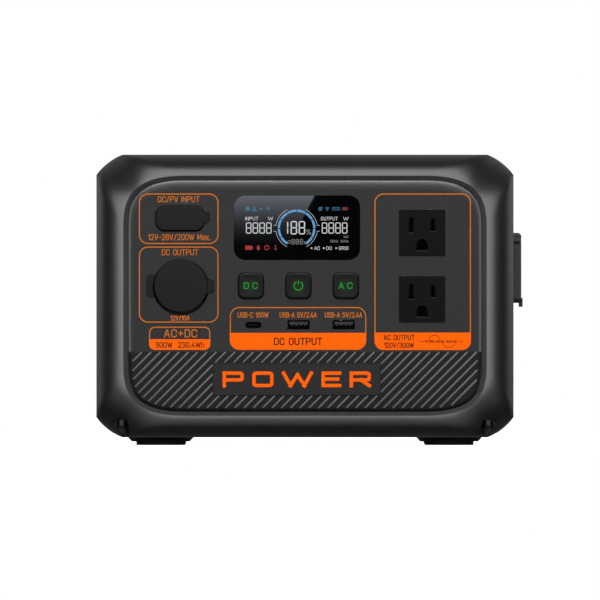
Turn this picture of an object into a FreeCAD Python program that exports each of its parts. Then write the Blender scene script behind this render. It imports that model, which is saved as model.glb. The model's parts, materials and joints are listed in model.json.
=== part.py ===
import FreeCAD, Part
import math
import os
import re

import Sketcher
from FreeCAD import Rotation, Vector

# Portable power station. Millimetres, +Z up, the front face looks along -Y.
# Every piece is drawn about the middle of the case. shift_x then moves all of them so that
# the whole object, with its side cover, is centred on the origin; z = 0 is the ground.

CASE = {
    "case_half": 122, "case_low": 4.6, "case_high": 170, "case_crest": 78,
    "corner_run": 15.5, "corner_drop": 12, "corner_radius": 30, "wall": 3,
    "parting": 50, "parting_gap": 0.8, "rim_depth": 18, "shift_x": -3,
}
RING = {
    "ring_half": 106.1, "ring_low": 17.4, "ring_high": 157.6, "ring_depth": 3.9,
    "ring_run": 36, "ring_near": 6.5, "ring_rise": 11.6, "ring_drop": 29,
}
PANEL = {
    "panel_half": 103, "panel_low": 20, "panel_high": 154.8, "face_y": -76.5, "panel_wall": 2.5,
    "panel_run": 33, "panel_near": 4.9, "panel_rise": 10.6, "panel_drop": 26.3,
    "edge_side": 3.2, "edge_top": 5.3, "edge_bottom": 2.6, "edge_depth": 3, "panel_gap": 0.15,
    "flange_back": -69.3, "flange_lap": 3, "flange_thick": 2,
    "trim_top": 54.7, "trim_thick": 0.6, "badge_wide": 97.3, "badge_high": 18.4,
    "badge_x": -4.8, "badge_z": 38.7, "badge_thick": 1.1,
}
SCREEN = {
    "screen_x": -4.7, "screen_z": 127.2, "screen_wide": 73.6, "screen_high": 37.5,
    "screen_corner": 6.7, "screen_thick": 1.8, "module_wide": 66, "module_high": 31,
    "board_front": -66.5, "board_thick": 1.6,
}
BUTTON = {
    "button_wide": 15.2, "button_high": 15.5, "button_corner": 3.8, "button_z": 93.3,
    "button_pitch": 27.7, "button_mid": -3.85, "button_proud": 0.6, "button_gap": 0.2,
    "button_lip": 1,
}
PORTS = {
    "port_z": 70.4, "usbc_x": -30.1, "usbc_wide": 9.3, "usbc_high": 3.6, "usbc_wall": 0.3,
    "usba_x": -3.8, "usba_pitch": 26.4, "usba_wide": 12.9, "usba_high": 5.6, "usba_wall": 0.35,
    "usba_corner": 0.6, "port_sink": 0.5, "usbc_deep": 7.5, "usba_deep": 11,
}
OUTLET = {
    "outlet_x": 68.4, "outlet_z": 85.3, "outlet_pitch": 38.8, "outlet_side": 26.8,
    "outlet_corner": 0.6, "outlet_deep": 22, "slot_half": 6.3, "slot_up": 4.7, "slot_wide": 2.2,
    "slot_tall": 9, "slot_short": 7.4, "slot_deep": 17, "ground_down": 6.8, "ground_r": 3.3,
}
CAR = {
    "car_x": -72.5, "car_z": 93, "car_bore": 10.5, "car_body": 14, "car_flange": 16,
    "car_deep": 38, "car_throat": 12.7, "car_throat_deep": 3.8, "car_bore_deep": 30.8, "car_well": 6.2,
    "car_well_deep": 35, "car_lid": 16.4, "car_lid_thick": 2.2, "car_skirt": 12, "car_skirt_wall": 1.3,
    "car_skirt_deep": 3.5, "car_hinge_x": -89.3, "strap_left": -93.3, "strap_high": 14,
}
INPUT = {
    "input_x": -73, "input_z": 132.9, "input_wide": 28.6, "input_high": 15.5, "input_corner": 5.3,
    "input_thick": 1.9, "mouth_wide": 24, "mouth_high": 12, "mouth_corner": 4, "mouth_deep": 5,
    "input_hinge_x": -87.7, "input_pin_half": 3.6, "input_pin_r": 1.75,
}
SIDE = {
    "lid_low": 83.3, "lid_high": 118.6, "lid_half": 32, "lid_proud": 4.9, "lid_wall": 1.4,
    "lid_axis_x": 124.6, "lid_axis_z": 122, "lid_barrel": 2.4, "lid_pin": 1, "lid_pin_hole": 1.05,
    "side_open_half": 27, "side_open_low": 87, "side_open_high": 118, "inlet_y": -9.5,
    "inlet_z": 102.5, "inlet_wide": 24.3, "inlet_high": 16.6, "inlet_deep": 17,
    "breaker_y": 17, "breaker_z": 110, "breaker_r": 3.2, "breaker_hole": 3.5, "ground_y": 17,
    "ground_z": 94,
}
VENT = {
    "left_vent_z": 88, "right_vent_z": 50, "vent_half": 31, "vent_tall": 58, "right_vent_tall": 44,
    "slot_gap": 3, "slot_pitch": 5.4, "vent_thick": 3, "fan_side": 60, "fan_thick": 15, "fan_x": -117,
    "fan_bore": 28.5, "fan_tip": 27.8, "hub_r": 13.5, "shaft_r": 1.5, "shaft_hole": 1.55,
}
HANDLE = {
    "pocket_half": 72.5, "pocket_front": -8, "pocket_back": 46.5, "pocket_floor": 155,
    "pocket_wall": 2.5, "bail_half": 70, "arm_wide": 10, "bail_thick": 10, "pivot_z": 163.5,
    "grip_front": 31, "grip_back": 43, "lug_r": 5, "pin_r": 2.5, "pin_hole": 2.55,
    "sleeve_half": 48, "sleeve_grow_y": 1.7, "sleeve_grow_z": 1.3, "bail_corner": 13,
    "bail_inner": 6,
}
FEET = {
    "foot_x": 84.5, "foot_y": 37, "foot_wide": 36.2, "foot_deep": 24, "foot_corner": 9,
    "pad_wide": 28.7, "pad_deep": 17, "pad_corner": 8, "pad_thick": 2.1, "bore_x": 107.3,
    "bore_y": 68.5, "bore_r": 4.7, "bore_top": 14.6, "boss_top": 22, "screw_head": 3.6,
    "screw_shank": 1.8,
}
BATTERY = {
    "cell_r": 16, "cell_long": 70, "cell_pitch": 33, "cell_front": -24, "cell_low": 31,
    "holder_thick": 8, "holder_lap": 4, "tab_thick": 0.3, "deck_z": 118, "deck_thick": 1.6,
}
GROUPS = (CASE, RING, PANEL, SCREEN, BUTTON, PORTS, OUTLET, CAR, INPUT, SIDE, VENT, HANDLE, FEET, BATTERY)
SIZES = {name: number for group in GROUPS for name, number in group.items()}

doc = FreeCAD.newDocument("power_station")
sheet = doc.addObject("Spreadsheet::Sheet", "Sheet")
for row, (name, number) in enumerate(SIZES.items(), 1):
    sheet.set(f"A{row}", name)
    sheet.set(f"B{row}", str(number))
    sheet.setAlias(f"B{row}", name)
doc.recompute()

nodes = []


# ---------------------------------------------------------------- helpers

def formula(text):
    """Write the sheet's names in full, so that FreeCAD reads them from the sheet."""
    def full(word):
        return "Sheet." + word.group() if word.group() in SIZES else word.group()
    return re.sub(r"[a-z_]+", full, str(text))


def value(text):
    """The number that a formula gives."""
    return float(doc.Sheet.evalExpression(formula(text)))


def bind(item, **properties):
    for path, text in properties.items():
        item.setExpression(path.replace("__", "."), formula(text))


def place(item, at, turn=None):
    """Put an item at a point given by three formulas, turned by an optional rotation."""
    if turn:
        item.Placement = FreeCAD.Placement(Vector(), turn)
    bind(item, Placement__Base__x=at[0], Placement__Base__y=at[1], Placement__Base__z=at[2])
    return item


def block(low, size, turn=None):
    """A box from its low corner and its three sizes."""
    item = doc.addObject("Part::Box", "Block")
    bind(item, Length=size[0], Width=size[1], Height=size[2])
    return place(item, low, turn)


TURN = {
    "x": Rotation(Vector(0, 1, 0), 90), "y": Rotation(Vector(1, 0, 0), -90), "z": None,
}


def rod(axis, start, radius, length):
    """A cylinder that runs along x, y or z from its start point."""
    item = doc.addObject("Part::Cylinder", "Rod")
    bind(item, Radius=radius, Height=length)
    return place(item, start, TURN[axis])


def join(*items):
    if len(items) == 1:
        return items[0]
    item = doc.addObject("Part::MultiFuse", "Join")
    item.Shapes = list(items)
    return item


def cut(base, *tools):
    item = doc.addObject("Part::Cut", "Cut")
    item.Base = base
    item.Tool = join(*tools)
    return item


def group(*items):
    """Several separate solids in one piece, such as a set of screws."""
    item = doc.addObject("Part::Compound", "Group")
    item.Links = list(items)
    return item


def solid(shape):
    """A piece whose shape is worked out here, where no feature makes it."""
    item = doc.addObject("Part::Feature", "Formed")
    item.Shape = shape
    return item


def node(label, item):
    """Name a finished sub-part and move it from the case's middle to the object's frame."""
    item.Label = label
    own = {path.lstrip("."): text for path, text in item.ExpressionEngine}
    item.setExpression("Placement.Base.x", own.get("Placement.Base.x", "0") + " + Sheet.shift_x")
    nodes.append(item)


# Sketch planes: the plane's role, and the sketch offset that puts it at a formula's height.
PLANES = {"front": ("XZ_Plane", "-({})"), "side": ("YZ_Plane", "{}"), "top": ("XY_Plane", "{}")}


def draw(body, plane, height, *loops):
    """A sketch of closed loops. Each loop is a list of (across, up, radius) formulas, going
    anticlockwise: a radius makes an arc from that point to the next, bulging outwards."""
    role, offset = PLANES[plane]
    sketch = body.newObject("Sketcher::SketchObject", "Outline")
    origin = [item for item in body.Origin.OriginFeatures if item.Role == role][0]
    sketch.AttachmentSupport = [(origin, "")]
    sketch.MapMode = "FlatFace"
    sketch.setExpression("AttachmentOffset.Base.z", formula(offset.format(height)))
    for loop in loops:
        if len(loop) == 1:
            draw_circle(sketch, *loop[0])
        else:
            draw_loop(sketch, loop)
    return sketch


def fix(sketch, kind, index, end, text):
    """Hold a distance from the sketch's origin, or a radius, to a formula."""
    number = value(text)
    if end is None:
        key = sketch.addConstraint(Sketcher.Constraint(kind, index, number))
    else:
        key = sketch.addConstraint(Sketcher.Constraint(kind, -1, 1, index, end, number))
    sketch.setExpression(f"Constraints[{key}]", formula(text))


def draw_circle(sketch, across, up, radius):
    centre = Vector(value(across), value(up), 0)
    index = sketch.addGeometry(Part.Circle(centre, Vector(0, 0, 1), value(radius)))
    fix(sketch, "DistanceX", index, 3, across)
    fix(sketch, "DistanceY", index, 3, up)
    fix(sketch, "Radius", index, None, radius)


def draw_loop(sketch, loop):
    places = [Vector(value(across), value(up), 0) for across, up, _ in loop]
    indices = []
    for number, (_, _, radius) in enumerate(loop):
        start = places[number]
        end = places[(number + 1) % len(loop)]
        if radius is None:
            edge = Part.LineSegment(start, end)
        else:
            half = (end - start) / 2
            away = Vector(half.y, -half.x, 0).normalize()
            reach = value(radius)
            rise = reach - math.sqrt(max(0, reach ** 2 - half.Length ** 2))
            edge = Part.ArcOfCircle(start, start + half + away * rise, end)
        indices.append(sketch.addGeometry(edge))
    for number, (across, up, radius) in enumerate(loop):
        index = indices[number]
        sketch.addConstraint(Sketcher.Constraint("Coincident", indices[number - 1], 2, index, 1))
        fix(sketch, "DistanceX", index, 1, across)
        fix(sketch, "DistanceY", index, 1, up)
        if radius is not None:
            fix(sketch, "Radius", index, None, radius)


def pad(plane, height, length, *loops, body=None):
    """A flat piece: loops drawn at a height on a plane and thickened by a length. On the front
    plane it grows towards -Y, and on the others along +X or +Z."""
    if body is None:
        body = doc.addObject("PartDesign::Body", "Body")
    sketch = draw(body, plane, height, *loops)
    item = body.newObject("PartDesign::Pad", "Pad")
    item.Profile = sketch
    bind(item, Length=length)
    return body


def pocket(body, plane, height, length, *loops):
    """Loops drawn at a height and cut into the body, against the direction that pad grows in."""
    sketch = draw(body, plane, height, *loops)
    item = body.newObject("PartDesign::Pocket", "Pocket")
    item.Profile = sketch
    bind(item, Length=length)
    return item


def rounded(wide, high, corner, across="0", up="0"):
    """A rectangle with round corners about a middle point."""
    corner = f"({corner})"
    left, right = f"{across} - ({wide}) / 2", f"{across} + ({wide}) / 2"
    low, top = f"{up} - ({high}) / 2", f"{up} + ({high}) / 2"
    return [
        (f"{left} + {corner}", low, None), (f"{right} - {corner}", low, corner),
        (right, f"{low} + {corner}", None), (right, f"{top} - {corner}", corner),
        (f"{right} - {corner}", top, None), (f"{left} + {corner}", top, corner),
        (left, f"{top} - {corner}", None), (left, f"{low} + {corner}", corner),
    ]


def rectangle(left, right, low, top):
    return [(left, low, None), (right, low, None), (right, top, None), (left, top, None)]


def case_loop(inset):
    """The case seen from the front: flat sides, and corner arcs that meet them at a slight angle."""
    half, low, high = f"case_half - {inset}", f"case_low + {inset}", f"case_high - {inset}"
    run, drop, bend = "corner_run", "corner_drop", "corner_radius"
    return [
        (f"-({half}) + {run}", low, None), (f"{half} - {run}", low, bend),
        (half, f"{low} + {drop}", None), (half, f"{high} - {drop}", bend),
        (f"{half} - {run}", high, None), (f"-({half}) + {run}", high, bend),
        (f"-({half})", f"{high} - {drop}", None), (f"-({half})", f"{low} + {drop}", bend),
    ]


# ------------------------------------------------- rims and panel: outlines that blend

class Outline:
    """A front view outline with four like corners, each one Bezier curve. The poles give the
    corner's offsets inward from the side and from the level edge."""

    def __init__(self, half, low, high, poles):
        self.half, self.low, self.high, self.poles = half, low, high, poles

    def blend(self, other, part):
        def mix(first, last):
            return first + (last - first) * part
        poles = [(mix(a, c), mix(b, d)) for (a, b), (c, d) in zip(self.poles, other.poles)]
        low, high = mix(self.low, other.low), mix(self.high, other.high)
        return Outline(mix(self.half, other.half), low, high, poles)

    def wire(self, y):
        runs = []
        for side, top in ((1, 1), (1, -1), (-1, -1), (-1, 1)):
            edge = self.high if top > 0 else self.low
            run = [Vector(side * (self.half - a), y, edge - top * b) for a, b in self.poles]
            runs.append(run if side == top else run[::-1])
        edges = []
        for run, following in zip(runs, runs[1:] + runs[:1]):
            curve = Part.BezierCurve()
            curve.setPoles(run)
            edges += [curve.toShape(), Part.makeLine(run[-1], following[0])]
        return Part.Wire(edges)


def outline(half, low, high, run, near, rise, drop):
    """An outline whose corners are squarish curves."""
    poles = [(value(run), 0), (value(near), 0), (0, value(rise)), (0, value(drop))]
    return Outline(value(half), value(low), value(high), poles)


def case_outline(inset):
    """The same outline as case_loop, with each shallow corner arc as a Bezier curve."""
    run, drop, radius = value("corner_run"), value("corner_drop"), value("corner_radius")
    chord = math.hypot(run, drop)
    sweep = 2 * math.asin(chord / (2 * radius))
    handle = 4 / 3 * math.tan(sweep / 4) * radius
    start = math.atan2(drop, run) - sweep / 2
    end = start + sweep
    poles = [
        (run, 0), (run - handle * math.cos(start), handle * math.sin(start)),
        (handle * math.cos(end), drop - handle * math.sin(end)), (0, drop),
    ]
    return Outline(value("case_half") - inset, value("case_low") + inset, value("case_high") - inset, poles)


def rounding(outer, inner, start, end, steps=8):
    """A solid with an elliptical edge: outer at the start plane, shrinking to inner at the end."""
    wires = []
    for step in range(steps + 1):
        angle = math.pi / 2 * step / steps
        level = start + (end - start) * math.sin(angle)
        wires.append(outer.blend(inner, 1 - math.cos(angle)).wire(level))
    return Part.makeLoft(wires, True, False)


def prism(shape, start, end):
    return Part.Face(shape.wire(start)).extrude(Vector(0, end - start, 0))


def crest_outline():
    return outline("ring_half", "ring_low", "ring_high", "ring_run", "ring_near", "ring_rise", "ring_drop")


def panel_outline(grow=0):
    return outline(f"panel_half + {grow}", f"panel_low - {grow}", f"panel_high + {grow}",
                   f"panel_run + {grow}", "panel_near", "panel_rise", f"panel_drop + {grow}")


def rim(side):
    """A hollow end of the case, its edge rounded all the way to the crest. side is -1 in front."""
    wall = value("wall")
    back = side * value("parting")
    shoulder = side * (value("case_crest") - value("rim_depth"))
    crest = side * value("case_crest")
    inner_shoulder = shoulder - side * wall
    inner_crest = crest - side * value("wall * 2.2")
    hollow = crest_outline().blend(case_outline(wall), 0.1)
    outside = prism(case_outline(0), back, shoulder).fuse(
        rounding(case_outline(0), crest_outline(), shoulder, crest))
    inside = prism(case_outline(wall), back, inner_shoulder).fuse(
        rounding(case_outline(wall), hollow, inner_shoulder, inner_crest))
    outside = outside.removeSplitter()
    bosses = []
    for hand in (-1, 1):
        foot = Vector(hand * value("bore_x"), side * value("bore_y"), value("case_low"))
        boss = Part.makeCylinder(value("bore_r") + 2, value("boss_top - case_low"), foot)
        bosses.append(boss.common(outside))
    return outside.cut(inside).fuse(bosses)


def corner_bores(side):
    """Upright screw bores that break out of the rounding at the two bottom corners."""
    bores = []
    for hand in (-1, 1):
        across, deep = f"{hand} * bore_x", f"{side} * bore_y"
        bores.append(rod("z", (across, deep, "case_low - 1"), "bore_r", "bore_top - case_low + 1"))
        bores.append(rod("z", (across, deep, "bore_top - 1"), "screw_shank", "boss_top - bore_top + 3"))
    return bores


front_y = value("-case_crest")
seat_y = value("ring_depth - case_crest")
seat = panel_outline(value("panel_gap"))
opening = Part.makeLoft([crest_outline().wire(front_y - 0.01), seat.wire(seat_y)], True)
through = prism(seat, seat_y, value("-parting"))
bezel = solid(rim(-1).cut([opening, through]))
node("front_bezel", cut(bezel, *corner_bores(-1)))

back_y = value("case_crest")
recess = prism(panel_outline(), back_y - 1.2, back_y + 1)
hollow = prism(panel_outline(value("flange_lap")), value("parting"), back_y - 1.2 - value("wall"))
rear = solid(rim(1).cut([recess, hollow]))
node("rear_cover", cut(rear, *corner_bores(1)))


# ---------------------------------------------------------------- front panel and its trim

face = value("face_y")
edge_y = face + value("edge_depth")
flat = outline("panel_half - edge_side", "panel_low + edge_bottom", "panel_high - edge_top",
               "panel_run - edge_side", "panel_near - 0.9", "panel_rise - 1", "panel_drop - edge_top")
flange_back = value("flange_back")
flange_front = flange_back - value("flange_thick")
panel_blank = rounding(panel_outline(), flat, edge_y, face, 5)
panel_blank = panel_blank.fuse([
    prism(panel_outline(), edge_y, flange_front),
    prism(panel_outline(value("flange_lap")), flange_front, flange_back),
]).removeSplitter()
hollow = prism(panel_outline(-5), face + value("panel_wall"), flange_back + 1)
blank = solid(panel_blank.cut(hollow))


def front_hole(loop, front="face_y - 1", back="flange_back"):
    """A cutter that runs back through the panel from in front of it."""
    return pad("front", back, f"({back}) - ({front})", loop)


BUTTONS = {"dc_button": -1, "power_button": 0, "ac_button": 1}
USB_A = ("usba_x", "usba_x + usba_pitch")
OUTLETS = {"ac_outlet_lower": "outlet_z", "ac_outlet_upper": "outlet_z + outlet_pitch"}

screen_back = "face_y + screen_thick - 0.3"
holes = [
    front_hole(rounded("screen_wide + 0.3", "screen_high + 0.3", "screen_corner", "screen_x", "screen_z"),
               back=screen_back),
    front_hole(rounded("module_wide + 0.4", "module_high + 0.4", "0.4", "screen_x", "screen_z")),
    front_hole(rounded("usbc_wide + 0.3", "usbc_high + 0.3", "usbc_high / 2", "usbc_x", "port_z")),
    rod("y", ("car_x", "face_y - 1", "car_z"), "car_body + 0.2", "10"),
    front_hole(rounded("mouth_wide + 3.2", "mouth_high + 3.2", "mouth_corner + 1", "input_x", "input_z")),
]
for step in BUTTONS.values():
    holes.append(front_hole(rounded("button_wide + 2 * button_gap", "button_high + 2 * button_gap",
                                    "button_corner", f"button_mid + {step} * button_pitch", "button_z")))
for across in USB_A:
    holes.append(front_hole(rounded("usba_wide + 0.3", "usba_high + 0.3", "usba_corner", across, "port_z")))
for up in OUTLETS.values():
    holes.append(front_hole(rounded("outlet_side + 0.3", "outlet_side + 0.3", "outlet_corner",
                                    "outlet_x", up)))
POSTS = [(f"screen_x + {across}", f"{up}") for across in (-44, 46) for up in (84, 142)]
posts = [rod("y", (across, "face_y + panel_wall", up), "3", "board_front - face_y - panel_wall")
         for across, up in POSTS]
node("front_panel", join(cut(blank, *holes), *posts))

trim_blank = pad("front", "face_y", "trim_thick", [
    ("-panel_half + 22", "panel_low + edge_bottom", None),
    ("panel_half - 22", "panel_low + edge_bottom", "30"),
    ("panel_half - edge_side", "panel_low + 18", None), ("panel_half - edge_side", "trim_top", None),
    ("-panel_half + edge_side", "trim_top", None), ("-panel_half + edge_side", "panel_low + 18", "30"),
])
badge_hole = front_hole(rounded("badge_wide + 0.2", "badge_high + 0.2", "0.8", "badge_x", "badge_z"),
                        back="face_y + 1")
node("ribbed_trim", cut(trim_blank, badge_hole))
node("name_plate", pad("front", "face_y", "badge_thick",
                       rounded("badge_wide", "badge_high", "0.8", "badge_x", "badge_z")))

node("display_window", pad("front", screen_back, "screen_thick",
                           rounded("screen_wide", "screen_high", "screen_corner", "screen_x", "screen_z")))
module_front = screen_back
node("display_module", block(("screen_x - module_wide / 2", module_front, "screen_z - module_high / 2"),
                             ("module_wide", f"board_front - ({module_front})", "module_high")))


# ---------------------------------------------------------------- buttons and control board

def button(step):
    """A cap with a retaining lip behind the panel and a stem towards its switch."""
    middle = f"button_mid + {step} * button_pitch"
    lip_front = "face_y + panel_wall + 0.1"
    body = pad("front", lip_front, f"{lip_front} - (face_y - button_proud)",
               rounded("button_wide", "button_high", "button_corner", middle, "button_z"))
    lip = pad("front", f"{lip_front} + button_lip", "button_lip",
              rounded("button_wide + 2", "button_high + 2", "button_corner", middle, "button_z"))
    stem = rod("y", (middle, f"{lip_front} + button_lip", "button_z"), "2", "2.3")
    return join(body, lip, stem)


for name, step in BUTTONS.items():
    node(name, button(step))

board = block(("screen_x - 48", "board_front", "80"), ("98", "board_thick", "66"))
post_holes = [rod("y", (across, "board_front - 1", up), "1.6", "4") for across, up in POSTS]
node("control_board", cut(board, *post_holes))
switches = []
for step in BUTTONS.values():
    middle = f"button_mid + {step} * button_pitch"
    base = block((f"{middle} - 3", "board_front - 2.2", "button_z - 3"), ("6", "2.2", "6"))
    plunger = rod("y", (middle, "board_front - 3", "button_z"), "1.6", "1")
    switches.append(join(base, plunger))
node("tact_switches", group(*switches))


# ---------------------------------------------------------------- USB ports

def shell_port(across, wide, high, corner, wall, deep):
    """A drawn metal port shell, open in front."""
    front = "face_y + port_sink"
    body = pad("front", f"{front} + {deep}", deep, rounded(wide, high, corner, across, "port_z"))
    inside = pad("front", f"{front} + {deep} - 0.4", deep,
                 rounded(f"{wide} - 2 * {wall}", f"{high} - 2 * {wall}", f"{corner} - {wall}",
                         across, "port_z"))
    return cut(body, inside)


node("usb_c_port", shell_port("usbc_x", "usbc_wide", "usbc_high", "usbc_high / 2 - 0.01",
                              "usbc_wall", "usbc_deep"))
node("usb_a_ports", group(*[shell_port(across, "usba_wide", "usba_high", "usba_corner",
                                       "usba_wall", "usba_deep") for across in USB_A]))
tongues = [block(("usbc_x - 3.3", "face_y + port_sink + 1.4", "port_z - 0.35"),
                 ("6.6", "usbc_deep - 1.8", "0.7"))]
for across in USB_A:
    tongues.append(block((f"{across} - 5.5", "face_y + port_sink + 1.2", "port_z + 0.15"),
                         ("11", "usba_deep - 1.6", "1.8")))
node("usb_tongues", group(*tongues))
node("usb_board", block(("usbc_x - 10", "face_y + port_sink + 2.5", "port_z - usba_high / 2 - board_thick"),
                        ("usba_x + usba_pitch - usbc_x + 22", "26", "board_thick")))


# ---------------------------------------------------------------- mains outlets

def outlet(up):
    """A square outlet face with two upright slots and a round-topped earth hole below."""
    front, back = "face_y - 0.4", "face_y - 0.4 + outlet_deep"
    body = pad("front", back, "outlet_deep",
               rounded("outlet_side", "outlet_side", "outlet_corner", "outlet_x", up))
    lug = pad("front", "flange_back + 2", "2",
              rounded("outlet_side + 4", "outlet_side", "1", "outlet_x", up))
    slots = []
    for side, tall in ((-1, "slot_tall"), (1, "slot_short")):
        middle = f"outlet_x + {side} * slot_half"
        slots.append(block((f"{middle} - slot_wide / 2", f"{front} - 1", f"{up} + slot_up - {tall} / 2"),
                           ("slot_wide", "slot_deep + 1", tall)))
    low = f"{up} - ground_down - ground_r"
    earth = pad("front", f"{front} + slot_deep", "slot_deep + 1", [
        ("outlet_x - ground_r", low, None), ("outlet_x + ground_r", low, None),
        ("outlet_x + ground_r", f"{low} + ground_r", "ground_r"),
        ("outlet_x - ground_r", f"{low} + ground_r", None),
    ])
    return cut(join(body, lug), earth, *slots)


for name, up in OUTLETS.items():
    node(name, outlet(up))
contacts = []
for up in OUTLETS.values():
    for side, tall in ((-1, "slot_tall"), (1, "slot_short")):
        for lean in (-1, 1):
            contacts.append(block(
                (f"outlet_x + {side} * slot_half + {lean} * (slot_wide / 2 - 0.25) - 0.25",
                 "face_y - 0.4 + 8", f"{up} + slot_up - {tall} / 2"), ("0.5", "slot_deep - 8", tall)))
node("outlet_contacts", group(*contacts))


# ---------------------------------------------------------------- car socket and its cover

front = "face_y - 0.3"
barrel = rod("y", ("car_x", front, "car_z"), "car_body", "car_deep")
flange = rod("y", ("car_x", front, "car_z"), "car_flange", "0.3")
nut = rod("y", ("car_x", "face_y + panel_wall", "car_z"), "car_body + 2.5", "4")
hollows = [rod("y", ("car_x", f"{front} - 1", "car_z"), radius, f"{deep} + 1")
           for radius, deep in (("car_throat", "car_throat_deep"), ("car_bore", "car_bore_deep"),
                                ("car_well", "car_well_deep"))]
node("car_socket", cut(join(barrel, flange), *hollows))
node("car_socket_nut", cut(nut, rod("y", ("car_x", "face_y", "car_z"), "car_body", "10")))
contact_y = f"{front} + car_well_deep"
node("car_centre_contact", join(rod("y", ("car_x", f"{contact_y} - 3.5", "car_z"), "2.6", "3.5"),
                                rod("y", ("car_x", f"{contact_y} - 0.6", "car_z"), "5.5", "0.6")))

lid_back = "face_y - 0.4"
lid = rod("y", ("car_x", f"{lid_back} - car_lid_thick", "car_z"), "car_lid", "car_lid_thick")
skirt = cut(rod("y", ("car_x", f"{lid_back} - 0.5", "car_z"), "car_skirt", "car_skirt_deep + 0.5"),
            rod("y", ("car_x", lid_back, "car_z"), "car_skirt - car_skirt_wall", "car_skirt_deep + 1"))
tab = pad("front", f"{lid_back} - 0.4", "car_lid_thick - 0.6", [
    ("car_x + 13", "car_z - 4.4", None), ("car_x + 16.4", "car_z - 4.4", None),
    ("car_x + 19.4", "car_z - 2.6", None), ("car_x + 19.4", "car_z + 2.6", None),
    ("car_x + 16.4", "car_z + 4.4", None), ("car_x + 13", "car_z + 4.4", None),
])
node("car_socket_cover", join(lid, skirt, tab))
strap = pad("front", "face_y", "0.9", rounded("car_hinge_x - 0.6 - strap_left", "strap_high", "1.6",
                                               "(car_hinge_x - 0.6 + strap_left) / 2", "car_z"))


# ---------------------------------------------------------------- DC input and its cover

mouth = ("mouth_wide", "mouth_high", "mouth_corner", "input_x", "input_z")
shell = pad("front", "face_y - 0.1 + 14", "14",
            rounded("mouth_wide + 3", "mouth_high + 3", "mouth_corner + 0.9", "input_x", "input_z"))
well = pad("front", "face_y + mouth_deep", "mouth_deep + 1", rounded(*mouth))
jack = pad("front", "face_y + mouth_deep + 6.5", "7.5", rounded("16.4", "8.4", "2", "input_x", "input_z"))
node("dc_input_socket", cut(shell, well, jack))
pins = [rod("y", (f"input_x + {side} * input_pin_half", "face_y + mouth_deep + 0.8", "input_z"),
            "input_pin_r", "5.7") for side in (-1, 1)]
node("dc_input_pins", group(*pins))

lid_back = "face_y - 0.2"
lid = pad("front", lid_back, "input_thick",
          rounded("input_wide", "input_high", "input_corner", "input_x", "input_z"))
plug = pad("front", f"{lid_back} + 1.6", "1.8", rounded("20.4", "9.4", "3", "input_x", "input_z"))
tab = pad("front", f"{lid_back} - 0.3", "input_thick - 0.5", [
    ("input_x + 11", "input_z - 1.2", None), ("input_x + 13.6", "input_z - 2.8", None),
    ("input_x + 15.9", "input_z - 2.8", None), ("input_x + 17.2", "input_z - 1.4", None),
    ("input_x + 17.2", "input_z + 3.4", None), ("input_x + 11", "input_z + 3.4", None),
])
node("dc_input_cover", join(lid, plug, tab))
input_strap = pad("front", "face_y", "0.9", rounded("2.6", "9", "1", "input_hinge_x - 1.9", "input_z"))
node("cover_straps", group(strap, input_strap))


# ---------------------------------------------------------------- middle shell

end_y = "parting - parting_gap"
shell = pad("front", end_y, f"2 * ({end_y})", case_loop("0"))
pad("front", "parting + 4", "2 * parting + 8", case_loop("(wall + 0.15)"), body=shell)
pocket(shell, "front", "-parting - 5", "2 * parting + 10", case_loop("(wall + 1.6)"))
pocket(shell, "front", "4 - parting", "2 * parting - 8", case_loop("wall"))
pad("top", "pocket_floor - pocket_wall", "case_high - pocket_floor",
    rectangle("-pocket_half - pocket_wall", "pocket_half + pocket_wall",
              "pocket_front - pocket_wall", "pocket_back + pocket_wall"), body=shell)
pocket(shell, "top", "case_high + 1", "case_high + 1 - pocket_floor",
       rounded("2 * pocket_half", "pocket_back - pocket_front", "5",
               "0", "(pocket_back + pocket_front) / 2"))
pocket(shell, "side", "case_half + 1", "wall + 2",
       rectangle("-side_open_half", "side_open_half", "side_open_low", "side_open_high"),
       rounded("2 * vent_half + 0.3", "right_vent_tall + 0.3", "3", "0", "right_vent_z"))
pocket(shell, "side", "wall + 1 - case_half", "wall + 2",
       rounded("2 * vent_half + 0.3", "vent_tall + 0.3", "3", "0", "left_vent_z"))
pin_bores = [rod("x", (f"{side} * (pocket_half + 1.25) - 1.25", "0", "pivot_z"), "pin_r", "2.5")
             for side in (-1, 1)]
node("main_shell", cut(shell, *pin_bores))


def grille(height, tall, middle, count):
    """A slotted vent plate. The slots repeat upwards."""
    body = pad("side", height, "vent_thick", rounded("2 * vent_half", tall, "3", "0", middle))
    first = f"{middle} - ({count} - 1) / 2 * slot_pitch"
    slot = pocket(body, "side", f"{height} + vent_thick + 1", "vent_thick + 2",
                  rounded("2 * vent_half - 8", "slot_gap", "slot_gap / 2 - 0.05", "0", first))
    doc.recompute()
    rows = body.newObject("PartDesign::LinearPattern", "Slots")
    rows.Originals = [slot]
    rows.Direction = (slot.Profile[0], ["V_Axis"])
    bind(rows, Length=f"({count} - 1) * slot_pitch")
    rows.Occurrences = count
    body.Tip = rows
    return body


node("left_grille", grille("-case_half + 0.3", "vent_tall", "left_vent_z", 10))
node("right_grille", grille("case_half - 0.3 - vent_thick", "right_vent_tall", "right_vent_z", 7))


# ---------------------------------------------------------------- folding handle

def bail_loop(half, back, corner):
    """A U seen from above, closed across its open end."""
    return [
        (f"-({half})", "0", None), (half, "0", None), (half, f"{back} - {corner}", corner),
        (f"{half} - {corner}", back, None), (f"-({half}) + {corner}", back, corner),
        (f"-({half})", f"{back} - {corner}", None),
    ]


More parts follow.
